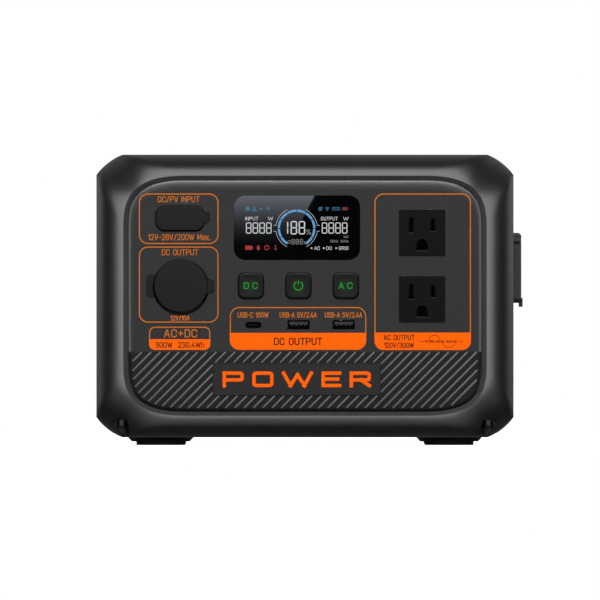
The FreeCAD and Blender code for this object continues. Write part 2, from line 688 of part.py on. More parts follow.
bail = pad("top", "pivot_z - bail_thick / 2", "bail_thick",
           bail_loop("bail_half", "grip_back", "bail_corner"))
pocket(bail, "top", "pivot_z + bail_thick", "2 * bail_thick",
       bail_loop("bail_half - arm_wide", "grip_front", "bail_inner"))
lugs = [rod("x", (f"{side} * (bail_half - arm_wide / 2) - arm_wide / 2", "0", "pivot_z"),
            "lug_r", "arm_wide") for side in (-1, 1)]
holes = [rod("x", (f"{side} * bail_half - arm_wide * 1.5", "0", "pivot_z"), "pin_hole", "3 * arm_wide")
         for side in (-1, 1)]
node("handle_bail", cut(join(bail, *lugs), *holes))

bar_y = "(grip_front + grip_back) / 2"
bar_wide = "grip_back - grip_front"
sleeve = pad("side", "-sleeve_half", "2 * sleeve_half",
             rounded(f"{bar_wide} + 2 * sleeve_grow_y", "bail_thick + 2 * sleeve_grow_z", "4.5",
                     bar_y, "pivot_z"),
             rectangle("grip_front", "grip_back", "pivot_z - bail_thick / 2", "pivot_z + bail_thick / 2"))
node("handle_grip", sleeve)
node("handle_pins", group(*[rod("x", (f"{side} * (bail_half - 3) - 5.5", "0", "pivot_z"), "pin_r", "11")
                            for side in (-1, 1)]))


# ---------------------------------------------------------------- mains inlet, breaker and side cover

inside_x = "case_half - wall"
plate = pad("side", f"{inside_x} - 3", "3",
            rectangle("-side_open_half - 4", "side_open_half + 4",
                      "side_open_low - 4", "side_open_high + 4"),
            rounded("inlet_wide + 3.4", "inlet_high + 4", "1", "inlet_y", "inlet_z"),
            [("breaker_y", "breaker_z", "5.1")], [("ground_y", "ground_z", "2")])
node("inlet_panel", plate)

flange_x = f"{inside_x} + 1.5"
inlet = pad("side", inside_x, "1.5", rounded("31", "24", "2", "inlet_y", "inlet_z"))
inlet = pad("side", f"{inside_x} - 22", "22",
            rounded("inlet_wide + 3.1", "inlet_high + 3.7", "1", "inlet_y", "inlet_z"), body=inlet)
left, right = "inlet_y - inlet_wide / 2", "inlet_y + inlet_wide / 2"
low, top = "inlet_z - inlet_high / 2", "inlet_z + inlet_high / 2"
pocket(inlet, "side", f"{flange_x} + 0.5", "inlet_deep + 0.5", [
    (left, low, None), (right, low, None), (right, f"{top} - 5", None), (f"{right} - 5", top, None),
    (f"{left} + 5", top, None), (left, f"{top} - 5", None),
])
node("ac_inlet", inlet)
blades = []
for across, up in ((-7, -4), (0, 0), (7, -4)):
    blades.append(block((f"{flange_x} - inlet_deep", f"inlet_y + {across} - 1", f"inlet_z + {up}"),
                        ("inlet_deep - 4.5", "2", "4")))
node("ac_inlet_pins", group(*blades))

body = join(rod("x", (f"{inside_x} - 21", "breaker_y", "breaker_z"), "5", "21"),
            rod("x", (inside_x, "breaker_y", "breaker_z"), "6", "1.2"))
bore = rod("x", (f"{inside_x} - 6", "breaker_y", "breaker_z"), "breaker_hole", "10")
node("breaker_body", cut(body, bore))
node("breaker_button", rod("x", (f"{inside_x} - 4", "breaker_y", "breaker_z"), "breaker_r", "6.4"))
node("ground_screw", join(rod("x", (f"{inside_x} - 9", "ground_y", "ground_z"), "2", "9"),
                          rod("x", (inside_x, "ground_y", "ground_z"), "3.8", "2")))

outer_x = "case_half + 0.15"
lid = pad("side", outer_x, "lid_proud - 0.15",
          rounded("2 * lid_half", "lid_high - lid_low", "3", "0", "(lid_high + lid_low) / 2"))
hollow = pad("side", f"{outer_x} - 1", "lid_proud + 0.85 - lid_wall",
             rounded("2 * (lid_half - lid_wall)", "lid_high - lid_low - 2 * lid_wall", "1.6", "0",
                     "(lid_high + lid_low) / 2"))
lip = block(("case_half + lid_proud - 1", "-10", "81"), ("2.1", "20", "5.2"))
web = block(("lid_axis_x - 1.8", "-26.8", "lid_high - 0.7"),
            ("case_half + lid_proud - lid_axis_x + 1.8", "53.6", "lid_axis_z - lid_high + 0.7"))
barrel = rod("y", ("lid_axis_x", "-26.8", "lid_axis_z"), "lid_barrel", "53.6")
stubs = rod("y", ("lid_axis_x", "-30.5", "lid_axis_z"), "lid_pin", "61")
node("side_cover", join(cut(lid, hollow), lip, web, barrel, stubs))
ears = []
for low in ("-31.5", "27.1"):
    ear = join(rod("y", ("lid_axis_x", low, "lid_axis_z"), "lid_barrel", "4.4"),
               block(("case_half", low, "lid_axis_z - lid_barrel"),
                     ("lid_axis_x - case_half", "4.4", "2 * lid_barrel")))
    ears.append(cut(ear, rod("y", ("lid_axis_x", f"{low} - 1", "lid_axis_z"), "lid_pin_hole", "7")))
node("side_cover_ears", group(*ears))


# ---------------------------------------------------------------- cooling fan

fan = ("fan_x", "0", "left_vent_z")
frame = cut(block(("fan_x", "-fan_side / 2", "left_vent_z - fan_side / 2"),
                  ("fan_thick", "fan_side", "fan_side")),
            rod("x", ("fan_x - 1", "0", "left_vent_z"), "fan_bore", "fan_thick + 2"))
inner_x = "fan_x + fan_thick - 2.5"
struts = [
    block((inner_x, "-fan_bore - 0.5", "left_vent_z - 1.5"), ("2.5", "2 * fan_bore + 1", "3")),
    block((inner_x, "-1.5", "left_vent_z - fan_bore - 0.5"), ("2.5", "3", "2 * fan_bore + 1")),
]
cup = rod("x", (inner_x, "0", "left_vent_z"), "hub_r", "2.5")
shaft = rod("x", ("fan_x + 2", "0", "left_vent_z"), "shaft_r", "fan_thick - 3")
node("fan_frame", join(frame, *struts, cup, shaft))

rotor = pad("side", "1.2", "fan_thick - 4.5", [("0", "0", "hub_r")], [("0", "0", "shaft_hole")])
draw_blade = [("3.3", "-4.6", None), ("4.6", "-4.6", None), ("10.6", "4.2", None), ("9.3", "4.2", None)]
blade = pad("top", "hub_r - 0.6", "fan_tip - hub_r + 0.6", draw_blade, body=rotor)
doc.recompute()
blades = rotor.newObject("PartDesign::PolarPattern", "Blades")
blades.Originals = [rotor.Tip]
blades.Axis = (rotor.Group[0], ["N_Axis"])
blades.Occurrences = 7
rotor.Tip = blades
node("fan_rotor", place(rotor, fan))


# ---------------------------------------------------------------- battery pack

cells = []
for column in range(4):
    for level in range(3):
        middle = (f"({column} - 1.5) * cell_pitch", f"cell_low + {level} * cell_pitch")
        cells.append(middle)
node("battery_cells", group(*[rod("y", (across, "cell_front", up), "cell_r", "cell_long")
                              for across, up in cells]))


def holder(low):
    """A moulded frame that grips one end of every cell, with a window over each terminal."""
    deep = "holder_thick"
    base = block(("-2 * cell_pitch - 1", low, "cell_low - cell_pitch / 2 - 1"),
                 ("4 * cell_pitch + 2", deep, "3 * cell_pitch + 2"))
    grips = [rod("y", (across, "cell_front", up), "cell_r + 0.1", "cell_long") for across, up in cells]
    windows = [rod("y", (across, f"{low} - 1", up), "cell_r - 6", "holder_thick + 2")
               for across, up in cells]
    return cut(base, *grips, *windows)


holder_front = "cell_front + holder_lap - holder_thick"
holder_rear = "cell_front + cell_long - holder_lap"
node("cell_holder_front", holder(holder_front))
node("cell_holder_rear", holder(holder_rear))
bars = []
for face_at in (f"{holder_front} - tab_thick", f"{holder_rear} + holder_thick"):
    for column in range(4):
        bars.append(block((f"({column} - 1.5) * cell_pitch - 7", face_at, "cell_low - 7"),
                          ("14", "tab_thick", "2 * cell_pitch + 14")))
node("bus_bars", group(*bars))
node("bms_board", block(("-55", f"{holder_front} - 5.6", "18"), ("110", "board_thick", "46")))
tray_high = "cell_low - cell_pitch / 2 - 1 - case_low - wall"
tray = cut(block(("-70", "-32", "case_low + wall"), ("140", "77", f"{tray_high} + 6")),
           block(("-67.1", "-40", "cell_low - cell_pitch / 2 - 1"), ("134.2", "100", "20")))
node("battery_tray", tray)


# ---------------------------------------------------------------- inverter

deck_top = "deck_z + deck_thick"
SPACERS = [(across, deep) for across in (-60, 0, 60) for deep in (-24, 46)]
deck = block(("-98", "-44", "deck_z"), ("192", "98", "deck_thick"))
node("inverter_board", cut(deck, *[rod("z", (f"{across}", f"{deep}", "deck_z - 1"), "1.6", "4")
                                   for across, deep in SPACERS]))
spacer_low = "cell_low + 2.5 * cell_pitch + 1"
node("deck_spacers", group(*[rod("z", (f"{across}", f"{deep}", spacer_low), "3", f"deck_z - ({spacer_low})")
                             for across, deep in SPACERS]))

sinks = []
for left in (-95, 63):
    base = pad("front", "38", "64", [
        (f"{left}", deck_top, None), (f"{left} + 30", deck_top, None),
        (f"{left} + 30", f"{deck_top} + 4", None), (f"{left}", f"{deck_top} + 4", None),
    ])
    fins = [block((f"{left} + {step} * 4.7", "-26", f"{deck_top} + 3"), ("1.8", "64", "21"))
            for step in range(7)]
    sinks.append(join(base, *fins))
node("heatsinks", group(*sinks))
core = cut(block(("-22", "-10", deck_top), ("44", "34", "28")),
           block(("-15", "-11", f"{deck_top} + 5"), ("9", "36", "18")),
           block(("6", "-11", f"{deck_top} + 5"), ("9", "36", "18")))
node("transformer_core", core)
winding = cut(block(("-14.8", "-14", f"{deck_top} + 5.2"), ("29.6", "42", "17.6")),
              block(("-6", "-10", f"{deck_top} + 4"), ("12", "34", "20")))
node("transformer_winding", winding)
CAPACITORS = ((-46, -24), (-46, -4), (-46, 16), (38, -20), (38, 0), (38, 20))
node("capacitors", group(*[rod("z", (f"{across}", f"{deep}", deck_top), "8", "26")
                           for across, deep in CAPACITORS]))
node("terminal_block", block(("30", "-42", deck_top), ("22", "13", "10")))


def lead(across):
    """A battery lead: out of the protection board, up in front of the cells, back to its terminal."""
    near, far = value(holder_front) - 5.6, -52
    low, high = 48, value(deck_top) + 5
    bend = 7
    slant = bend * (1 - math.sqrt(0.5))

    def at(y, z):
        return Vector(across, y, z)

    path = Part.Wire([
        Part.makeLine(at(near, low), at(far + bend, low)),
        Part.Arc(at(far + bend, low), at(far + slant, low + slant), at(far, low + bend)).toShape(),
        Part.makeLine(at(far, low + bend), at(far, high - bend)),
        Part.Arc(at(far, high - bend), at(far + slant, high - slant), at(far + bend, high)).toShape(),
        Part.makeLine(at(far + bend, high), at(-42, high)),
    ])
    section = Part.Wire(Part.makeCircle(1.9, at(near, low), Vector(0, -1, 0)))
    return path.makePipeShell([section], True, False)


node("battery_leads", solid(Part.makeCompound([lead(38), lead(44)])))


# ---------------------------------------------------------------- feet and case screws

feet, pads = [], []
for side in (-1, 1):
    for end in (-1, 1):
        across, deep = f"{side} * foot_x", f"{end} * foot_y"
        feet.append(pad("top", "pad_thick", "case_low - pad_thick",
                        rounded("foot_wide", "foot_deep", "foot_corner", across, deep)))
        pads.append(pad("top", "0", "pad_thick",
                        rounded("pad_wide", "pad_deep", "pad_corner", across, deep)))
node("foot_bases", group(*feet))
node("foot_pads", group(*pads))
screws = []
for side in (-1, 1):
    for end in (-1, 1):
        across, deep = f"{side} * bore_x", f"{end} * bore_y"
        screws.append(join(rod("z", (across, deep, "bore_top - 3"), "screw_head", "3"),
                           rod("z", (across, deep, "bore_top"), "screw_shank", "boss_top - bore_top - 1")))
node("case_screws", group(*screws))


# ---------------------------------------------------------------- report and export

doc.recompute()
for item in doc.Objects:
    if "Invalid" in item.State or "Error" in item.State:
        raise RuntimeError(f"{item.Name} ({item.Label}) failed: {item.State}")
os.makedirs("parts", exist_ok=True)
for item in nodes:
    if item.Shape.isNull() or not item.Shape.isValid() or not item.Shape.Solids:
        raise RuntimeError(f"{item.Label} has no valid solid")
    box = item.Shape.BoundBox
    print(f"{item.Label:24s} solids {len(item.Shape.Solids):2d}  volume {item.Shape.Volume:9.0f}"
          f"  x {box.XMin:7.2f} {box.XMax:7.2f}  y {box.YMin:7.2f} {box.YMax:7.2f}"
          f"  z {box.ZMin:7.2f} {box.ZMax:7.2f}")
    item.Shape.exportStep(f"parts/{item.Label}.step")
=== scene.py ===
import json
import math

import bmesh
import bpy
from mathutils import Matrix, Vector


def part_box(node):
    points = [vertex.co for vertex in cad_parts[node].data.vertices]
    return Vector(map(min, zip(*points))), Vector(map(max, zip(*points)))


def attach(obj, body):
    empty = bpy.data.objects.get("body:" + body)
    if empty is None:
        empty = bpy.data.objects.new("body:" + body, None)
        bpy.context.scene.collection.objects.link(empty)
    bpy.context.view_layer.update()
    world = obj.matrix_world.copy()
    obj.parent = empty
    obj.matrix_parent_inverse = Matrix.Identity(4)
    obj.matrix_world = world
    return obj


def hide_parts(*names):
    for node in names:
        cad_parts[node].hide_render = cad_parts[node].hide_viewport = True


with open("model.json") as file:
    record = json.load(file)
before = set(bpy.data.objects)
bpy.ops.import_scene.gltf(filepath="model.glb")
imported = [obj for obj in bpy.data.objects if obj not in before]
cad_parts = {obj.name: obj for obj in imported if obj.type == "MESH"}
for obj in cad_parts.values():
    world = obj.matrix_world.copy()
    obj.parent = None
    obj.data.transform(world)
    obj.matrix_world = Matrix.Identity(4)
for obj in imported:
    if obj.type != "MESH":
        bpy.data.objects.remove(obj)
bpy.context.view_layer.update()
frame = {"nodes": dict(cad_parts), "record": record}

# Portable power station. Metres, +Z up, the front face looks along -Y. Sizes are written in
# millimetres times MM. Front view shapes are drawn as (x, z) points in millimetres.

MM = 0.001
NODES = frame["nodes"]
NODE_SLOT = {part["node"]: part["material_slot"] for part in frame["record"]["subparts"]}


def box_mm(node):
    """A CAD node's box in millimetres."""
    low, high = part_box(node)
    return low / MM, high / MM


def middle(node):
    """The middle of a CAD node's box in millimetres."""
    low, high = box_mm(node)
    return (low + high) / 2


# The panel's flat front and the middle of the case, without the cover at its side.
FACE_Y = box_mm("ribbed_trim")[1].y
CENTRE_X = middle("front_bezel").x

# ---- shader nodes


def set_inputs(tree, node, inputs):
    """Sets a node's inputs. Each is a value, or the output that feeds it."""
    for name, value in inputs.items():
        if isinstance(value, bpy.types.NodeSocket):
            tree.links.new(value, node.inputs[name])
        else:
            node.inputs[name].default_value = value


def add_node(tree, kind, inputs=None, **settings):
    node = tree.nodes.new("ShaderNode" + kind)
    for name, value in settings.items():
        setattr(node, name, value)
    set_inputs(tree, node, inputs or {})
    return node


def fade(tree, value, source, result, **settings):
    """Maps one range of a value to another range."""
    ranges = {"From Min": source[0], "From Max": source[1], "To Min": result[0], "To Max": result[1]}
    return add_node(tree, "MapRange", {"Value": value, **ranges}, **settings).outputs["Result"]


def combine(tree, operation, first, second):
    return add_node(tree, "Math", {0: first, 1: second}, operation=operation).outputs[0]


def blend(tree, factor, first, second):
    """The mix of two colours."""
    inputs = {"Factor": factor, "A": (*first, 1), "B": (*second, 1)}
    return add_node(tree, "Mix", inputs, data_type="RGBA").outputs["Result"]


def noise(tree, place, scale, detail):
    return add_node(tree, "TexNoise", {"Vector": place, "Scale": scale, "Detail": detail}).outputs["Fac"]


# ---- camera and lights

VIEW_WIDE = 350.4 * MM
LENS, SENSOR = 1000, 36
AIM = Vector((-5.9 * MM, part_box("front_panel")[0].y, 85 * MM))

# The soft boxes: azimuth, elevation, distance, width, height and radiance. Azimuth 0 is in front
# of the case and 90 is at its right.
STUDIO = {
    "key": (0, 18, 1.5, 2.3, 2.0, 6.2),
    "panel_top": (0, 97, 1.0, 1.4, 0.8, 32),
    "panel_side": (98, 0, 1.0, 0.6, 0.8, 18),
    "side": (118, 15, 1.6, 0.9, 1.2, 0.8),
    "low_fill": (0, -38, 1.5, 2.3, 1.1, 1.1),
    "rear": (180, 15, 1.6, 3.4, 1.4, 1.3),
    "top": (0, 82, 1.5, 1.8, 1.4, 2.2),
}
CARD_AWAY, CARD_SIZE, CARD_TILT, CARD_BRIGHT = 0.12, 0.16, 27.5, 3.4
CARD_EDGE, CARD_DARK, CARD_FADE = 10 * MM, 4 * MM, 2.6
CARD_COLOUR = (0.8, 0.88, 1, 1)


def make_camera():
    data = bpy.data.cameras.new("camera")
    data.lens, data.sensor_width = LENS, SENSOR
    data.clip_start, data.clip_end = 0.05, 60
    camera = bpy.data.objects.new("camera", data)
    camera.location = AIM - Vector((0, VIEW_WIDE * LENS / SENSOR, 0))
    camera.rotation_euler = (math.pi / 2, 0, 0)
    bpy.context.scene.collection.objects.link(camera)
    bpy.context.scene.camera = camera


def soft_light(name, azimuth, elevation, distance, wide, high, radiance, shape="ELLIPSE"):
    """A soft box aimed at the front of the case."""
    turn, rise = math.radians(azimuth), math.radians(elevation)
    away = Vector((math.sin(turn) * math.cos(rise), -math.cos(turn) * math.cos(rise), math.sin(rise)))
    data = bpy.data.lights.new(name, "AREA")
    data.shape, data.size, data.size_y = shape, wide, high
    area = wide * high * (math.pi / 4 if shape == "ELLIPSE" else 1)
    data.energy = radiance * math.pi * area
    light = bpy.data.objects.new(name, data)
    light.location = AIM + away * distance
    light.rotation_euler = (-away).to_track_quat("-Z", "Y").to_euler()
    light.visible_camera = False
    bpy.context.scene.collection.objects.link(light)
    return light


def studio_light(name, hand=1, shape="ELLIPSE"):
    """A light of the table, or with hand -1 its mirror image."""
    azimuth, *rest = STUDIO[name]
    return soft_light(name, hand * azimuth, *rest, shape)


def link_light(light, items, state):
    """Makes a light fall on these pieces only, with no others in its way, or on all but these."""
    group = bpy.data.collections.new(light.name + "_on")
    for item in items:
        group.objects.link(item)
    for member in group.collection_objects:
        member.light_linking.link_state = state
    light.light_linking.receiver_collection = group
    if state == "INCLUDE":
        light.light_linking.blocker_collection = group


def window_card():
    """A small tilted card whose reflection is the slanted gloss on the display window. It is bright
    at its top and fades downwards."""
    low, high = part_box("display_window")
    light = soft_light("window_card", 0, 0, CARD_AWAY, CARD_SIZE, CARD_SIZE, 1, "SQUARE")
    tilt = math.radians(CARD_TILT)
    across = Vector((math.cos(tilt), 0, -math.sin(tilt)))
    edge = Vector(((low.x + high.x) / 2 + CARD_EDGE, low.y - CARD_AWAY, high.z))
    light.location = edge - across * CARD_SIZE / 2
    light.rotation_euler = (math.pi / 2, tilt, 0)
    light.data.use_nodes = True
    tree = light.data.node_tree
    place = add_node(tree, "NewGeometry").outputs["Position"]
    height = add_node(tree, "SeparateXYZ", {0: place}).outputs["Z"]
    share = combine(tree, "POWER", fade(tree, height, (low.z + CARD_DARK, high.z), (0, 1)), CARD_FADE)
    strength = combine(tree, "MULTIPLY", share, CARD_BRIGHT)
    set_inputs(tree, tree.nodes["Emission"], {"Color": CARD_COLOUR, "Strength": strength})
    return light


def make_lights(bezel, rear_shell, caps):
    """Lights the object. Some lights serve single pieces: the gloss on the display, the rounded edge
    of the panel and the lower part of the bezel."""
    panel, window = NODES["front_panel"], NODES["display_window"]
    upper = [item for name, item in NODES.items() if name.startswith(("main_shell", "handle"))]
    link_light(studio_light("key"), [window, rear_shell, *upper], "EXCLUDE")
    link_light(window_card(), [window], "INCLUDE")
    link_light(studio_light("panel_top", shape="RECTANGLE"), [panel, *caps], "INCLUDE")
    for hand in (-1, 1):
        link_light(studio_light("panel_side", hand, "RECTANGLE"), [panel], "INCLUDE")
        studio_light("side", hand)
    link_light(studio_light("low_fill"), [bezel], "INCLUDE")
    link_light(studio_light("rear"), [bezel], "EXCLUDE")
    link_light(studio_light("top"), [bezel], "EXCLUDE")


def make_world():
    """White to the camera. The object itself sees a bright room behind it and a dim one elsewhere."""
    world = bpy.data.worlds.new("studio")
    bpy.context.scene.world = world
    world.use_nodes = True
    tree = world.node_tree
    place = add_node(tree, "TexCoord").outputs["Generated"]
    axes = add_node(tree, "SeparateXYZ", {0: place}).outputs
    behind = fade(tree, axes["Y"], (-0.1, 0.35), (0.015, 0.42))
    above = fade(tree, axes["Z"], (-0.5, 0.1), (0.25, 1))
    room = combine(tree, "MULTIPLY", behind, above)
    seen = combine(tree, "MAXIMUM", room, add_node(tree, "LightPath").outputs["Is Camera Ray"])
    set_inputs(tree, tree.nodes["Background"], {"Color": (1, 1, 1, 1), "Strength": seen})


# ---- materials

CLOUD_SCALE, LAMP_SCALE = 60, 400
GLOSS_DRIFT, LAMP_DRIFT = 0.07, 0.08
GLOW, GLOW_REACH = (0.001, 0.018, 0.002), 6.5


def node_setup(name):
    material = bpy.data.materials.new(name)
    material.use_nodes = True
    tree = material.node_tree
    return material, tree, tree.nodes["Principled BSDF"], add_node(tree, "TexCoord").outputs["Object"]


def mix_tone(tree, factor, colour, spread):
    """A base colour that drifts a little darker and lighter with a factor."""
    dark = [c * (1 - spread) for c in colour]
    light = [min(1, c * (1 + spread)) for c in colour]
    return blend(tree, factor, dark, light)


def surface(name, colour, roughness, grain=0.35, depth=0.01, specular=0.5, spread=0.12,
            metallic=0, coat=0, stretch=(1, 1, 1)):
    """A moulded or finished surface: a fine pebbled texture, with faint unevenness in colour and
    gloss. grain and depth are in millimetres. stretch draws the texture out into brush lines."""
    material, tree, shader, place = node_setup(name)
    cloud = noise(tree, place, CLOUD_SCALE, 4)
    scaled = add_node(tree, "Mapping", {"Vector": place, "Scale": stretch}).outputs["Vector"]
    pebble = noise(tree, scaled, 1 / (grain * MM), 2)
    bump = add_node(tree, "Bump", {"Height": pebble, "Strength": 0.5, "Distance": depth * MM})
    gloss = (roughness * (1 - GLOSS_DRIFT), roughness * (1 + GLOSS_DRIFT))
    set_inputs(tree, shader, {
        "Base Color": mix_tone(tree, cloud, colour, spread),
        "Roughness": fade(tree, cloud, (0, 1), gloss),
        "Normal": bump.outputs["Normal"],
        "Specular IOR Level": specular, "Metallic": metallic, "Coat Weight": coat,
    })
    return material


def lamp(name, colour):
    """A lit segment or symbol, a little uneven as a backlight is."""
    material, tree, shader, place = node_setup(name)
    tone = mix_tone(tree, noise(tree, place, LAMP_SCALE, 3), colour, LAMP_DRIFT)
    set_inputs(tree, shader, {"Emission Color": tone, "Emission Strength": 1,
                              "Base Color": (0.01, 0.01, 0.01, 1), "Specular IOR Level": 0.02})
    return material


def add_glow_face(name, centre):
    """Adds a satin button face. The lit symbol's light spreads in it and fades with distance."""
    material = surface(name, (0.0025, 0.0028, 0.0025), 0.55, specular=0.05)
    tree = material.node_tree
    place = add_node(tree, "TexCoord").outputs["Object"]
    away = add_node(tree, "VectorMath", {0: place, 1: centre * MM}, operation="DISTANCE").outputs["Value"]
    share = fade(tree, away, (0, GLOW_REACH * MM), (1, 0), interpolation_type="SMOOTHERSTEP")
    glow = blend(tree, share, (0, 0, 0), GLOW)
    set_inputs(tree, tree.nodes["Principled BSDF"], {"Emission Color": glow, "Emission Strength": 1})
    MATERIALS[name] = material


def grey(tone):
    return (tone, tone, tone)


# Each material's colour and roughness, then what sets it apart from a fine moulded plastic.
LOOKS = {
    "shell_plastic": ((0.0035, 0.0035, 0.0037), 0.4, {"grain": 0.5, "depth": 0.006}),
    # Painted shade: the bezel's screw bores, darker and less glossy than the shell around them.
    "bore_painted_shade": (grey(0.002), 0.6, {"specular": 0.12}),
    # Painted light: the bezel's inner slope, lighter than the shell; it is also rougher.
    "bezel_slope_painted_light": ((0.022, 0.022, 0.0224), 0.75, {"grain": 0.5, "depth": 0.006, "specular": 0.3}),
    "panel_plastic": ((0.0062, 0.0062, 0.0063), 0.68, {"depth": 0.008, "specular": 0.14}),
    "trim_plastic": (grey(0.0082), 0.7, {"specular": 0.05}),
    "window": ((0.002, 0.002, 0.0025), 0.03, {"grain": 3, "depth": 0.0005}),
    "display": ((0.01, 0.02, 0.04), 0.2, {}),
    "button_plastic": ((0.006, 0.0065, 0.006), 0.5, {}),
    "soft_rubber": (grey(0.005), 0.7, {"grain": 0.2, "depth": 0.012, "specular": 0.08}),
    "black_plastic": (grey(0.005), 0.5, {"specular": 0.3}),
    "outlet_black": (grey(0.0035), 0.6, {"specular": 0.015}),
    "port_black": (grey(0.002), 0.5, {"specular": 0.02}),
    "screw_dark": (grey(0.012), 0.4, {"metallic": 1}),
    # Painted shade: the brass contacts deep in the mains slots, a dull dark brown.
    "contact_painted_shade": ((0.006, 0.0045, 0.0025), 0.5, {"specular": 0.03}),
    "steel": ((0.5, 0.5, 0.49), 0.3, {"metallic": 1, "stretch": (1, 1, 0.05)}),
    "brass": ((0.62, 0.42, 0.16), 0.3, {"metallic": 1, "stretch": (1, 0.05, 1)}),
    "nickel": ((0.6, 0.57, 0.52), 0.25, {"metallic": 1, "stretch": (0.05, 1, 1)}),
    "circuit_board": ((0.01, 0.1, 0.035), 0.35, {"grain": 1.2, "coat": 0.3, "spread": 0.3}),
    "cell_wrap": ((0.02, 0.09, 0.28), 0.35, {"coat": 0.4}),
    "holder_plastic": ((0.02, 0.02, 0.022), 0.5, {}),
    "heatsink": ((0.55, 0.55, 0.56), 0.4, {"metallic": 1, "stretch": (1, 0.03, 1)}),
    "capacitor": ((0.02, 0.02, 0.03), 0.35, {"coat": 0.4}),
    "ferrite": ((0.03, 0.03, 0.032), 0.6, {"grain": 0.6, "depth": 0.03}),
    "winding": ((0.45, 0.16, 0.04), 0.3,
                {"metallic": 0.8, "grain": 0.6, "depth": 0.1, "stretch": (1, 0.05, 1)}),
    "wire": ((0.2, 0.012, 0.012), 0.5, {"specular": 0.4}),
    "orange_print": ((0.56, 0.07, 0.0006), 0.6, {"spread": 0.04, "specular": 0.02}),
    "orange_line": ((0.3, 0.078, 0.008), 0.6, {"spread": 0.06, "specular": 0.02}),
    "brown_print": ((0.045, 0.009, 0.001), 0.6, {"specular": 0.02}),
    # Painted highlight: the ribs, lighter than the skin they stand on.
    "rib_painted_highlight": (grey(0.042), 0.5, {}),
    "contact_grey": (grey(0.018), 0.5, {"specular": 0.05}),
    # Painted shade: near black, for the walls of the panel's openings and round the mains slots.
    "slot_shade": (grey(0.0012), 0.7, {"specular": 0.01}),
    # Painted shade: near black, on the side walls of the covers' lids.
    "lid_wall": (grey(0.001), 0.8, {"specular": 0.02}),
    "side_rubber": (grey(0.012), 0.6, {"specular": 0.25}),
    # Painted highlight: the thin lighter line under each mains slot.
    "lip_painted_highlight": (grey(0.016), 0.6, {"specular": 0.05}),
}
LIT = {
    "lit_white": (0.6, 0.62, 0.63), "lit_dim": grey(0.2), "lit_blue": (0.1, 0.31, 0.58),
    "lit_icon_blue": (0.03, 0.17, 0.3), "lit_red": (0.35, 0.012, 0.02), "lit_dim_red": (0.13, 0.01, 0.016),
    "lit_green": (0.002, 0.28, 0.011),
}
MATERIALS = {name: surface(name, colour, roughness, **more)
             for name, (colour, roughness, more) in LOOKS.items()}
MATERIALS |= {name: lamp(name, colour) for name, colour in LIT.items()}

# Nodes that look a little different from the rest of their slot.
NODE_LOOK = {
    "usb_a_ports": "port_black", "usb_c_port": "port_black", "usb_tongues": "port_black",
    # The outlet contacts take painted shade in place of their brass.
    "ac_outlet_lower": "outlet_black", "ac_outlet_upper": "outlet_black", "outlet_contacts": "contact_painted_shade",
    "case_screws": "screw_dark", "side_cover": "side_rubber",
}
SHADED_INSET = 6 * MM


def dress_nodes():
    """Gives every CAD node its material. The walls of the panel's openings get painted shade, near black, so
    that the lights on its edge don't show in them."""
    for name, item in NODES.items():
        item.data.materials.clear()
        item.data.materials.append(MATERIALS[NODE_LOOK.get(name, NODE_SLOT[name])])
    panel, (low, high) = NODES["front_panel"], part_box("front_panel")

    def in_opening(face):
        spot = panel.matrix_world @ face.center
        inset = min(spot.x - low.x, high.x - spot.x, spot.z - low.z, high.z - spot.z)
        return inset > SHADED_INSET and abs(face.normal.y) < 0.5
    paint(panel, "slot_shade", in_opening)


# ---- building pieces

MITRE_LIMIT = 0.55


def flat_loop(outline, y):
    return [(x, y, z) for x, z in outline]


def shade_smooth(mesh, angle):
    """Faces shade smoothly up to this many degrees apart."""
    mesh.polygons.foreach_set("use_smooth", [True] * len(mesh.polygons))
    mesh.set_sharp_from_angle(angle=math.radians(angle))


def paint(item, look, chosen):
    """Gives the faces that a test chooses a further material."""
    item.data.materials.append(MATERIALS[look])
    for face in item.data.polygons:
        if chosen(face):
            face.material_index = len(item.data.materials) - 1


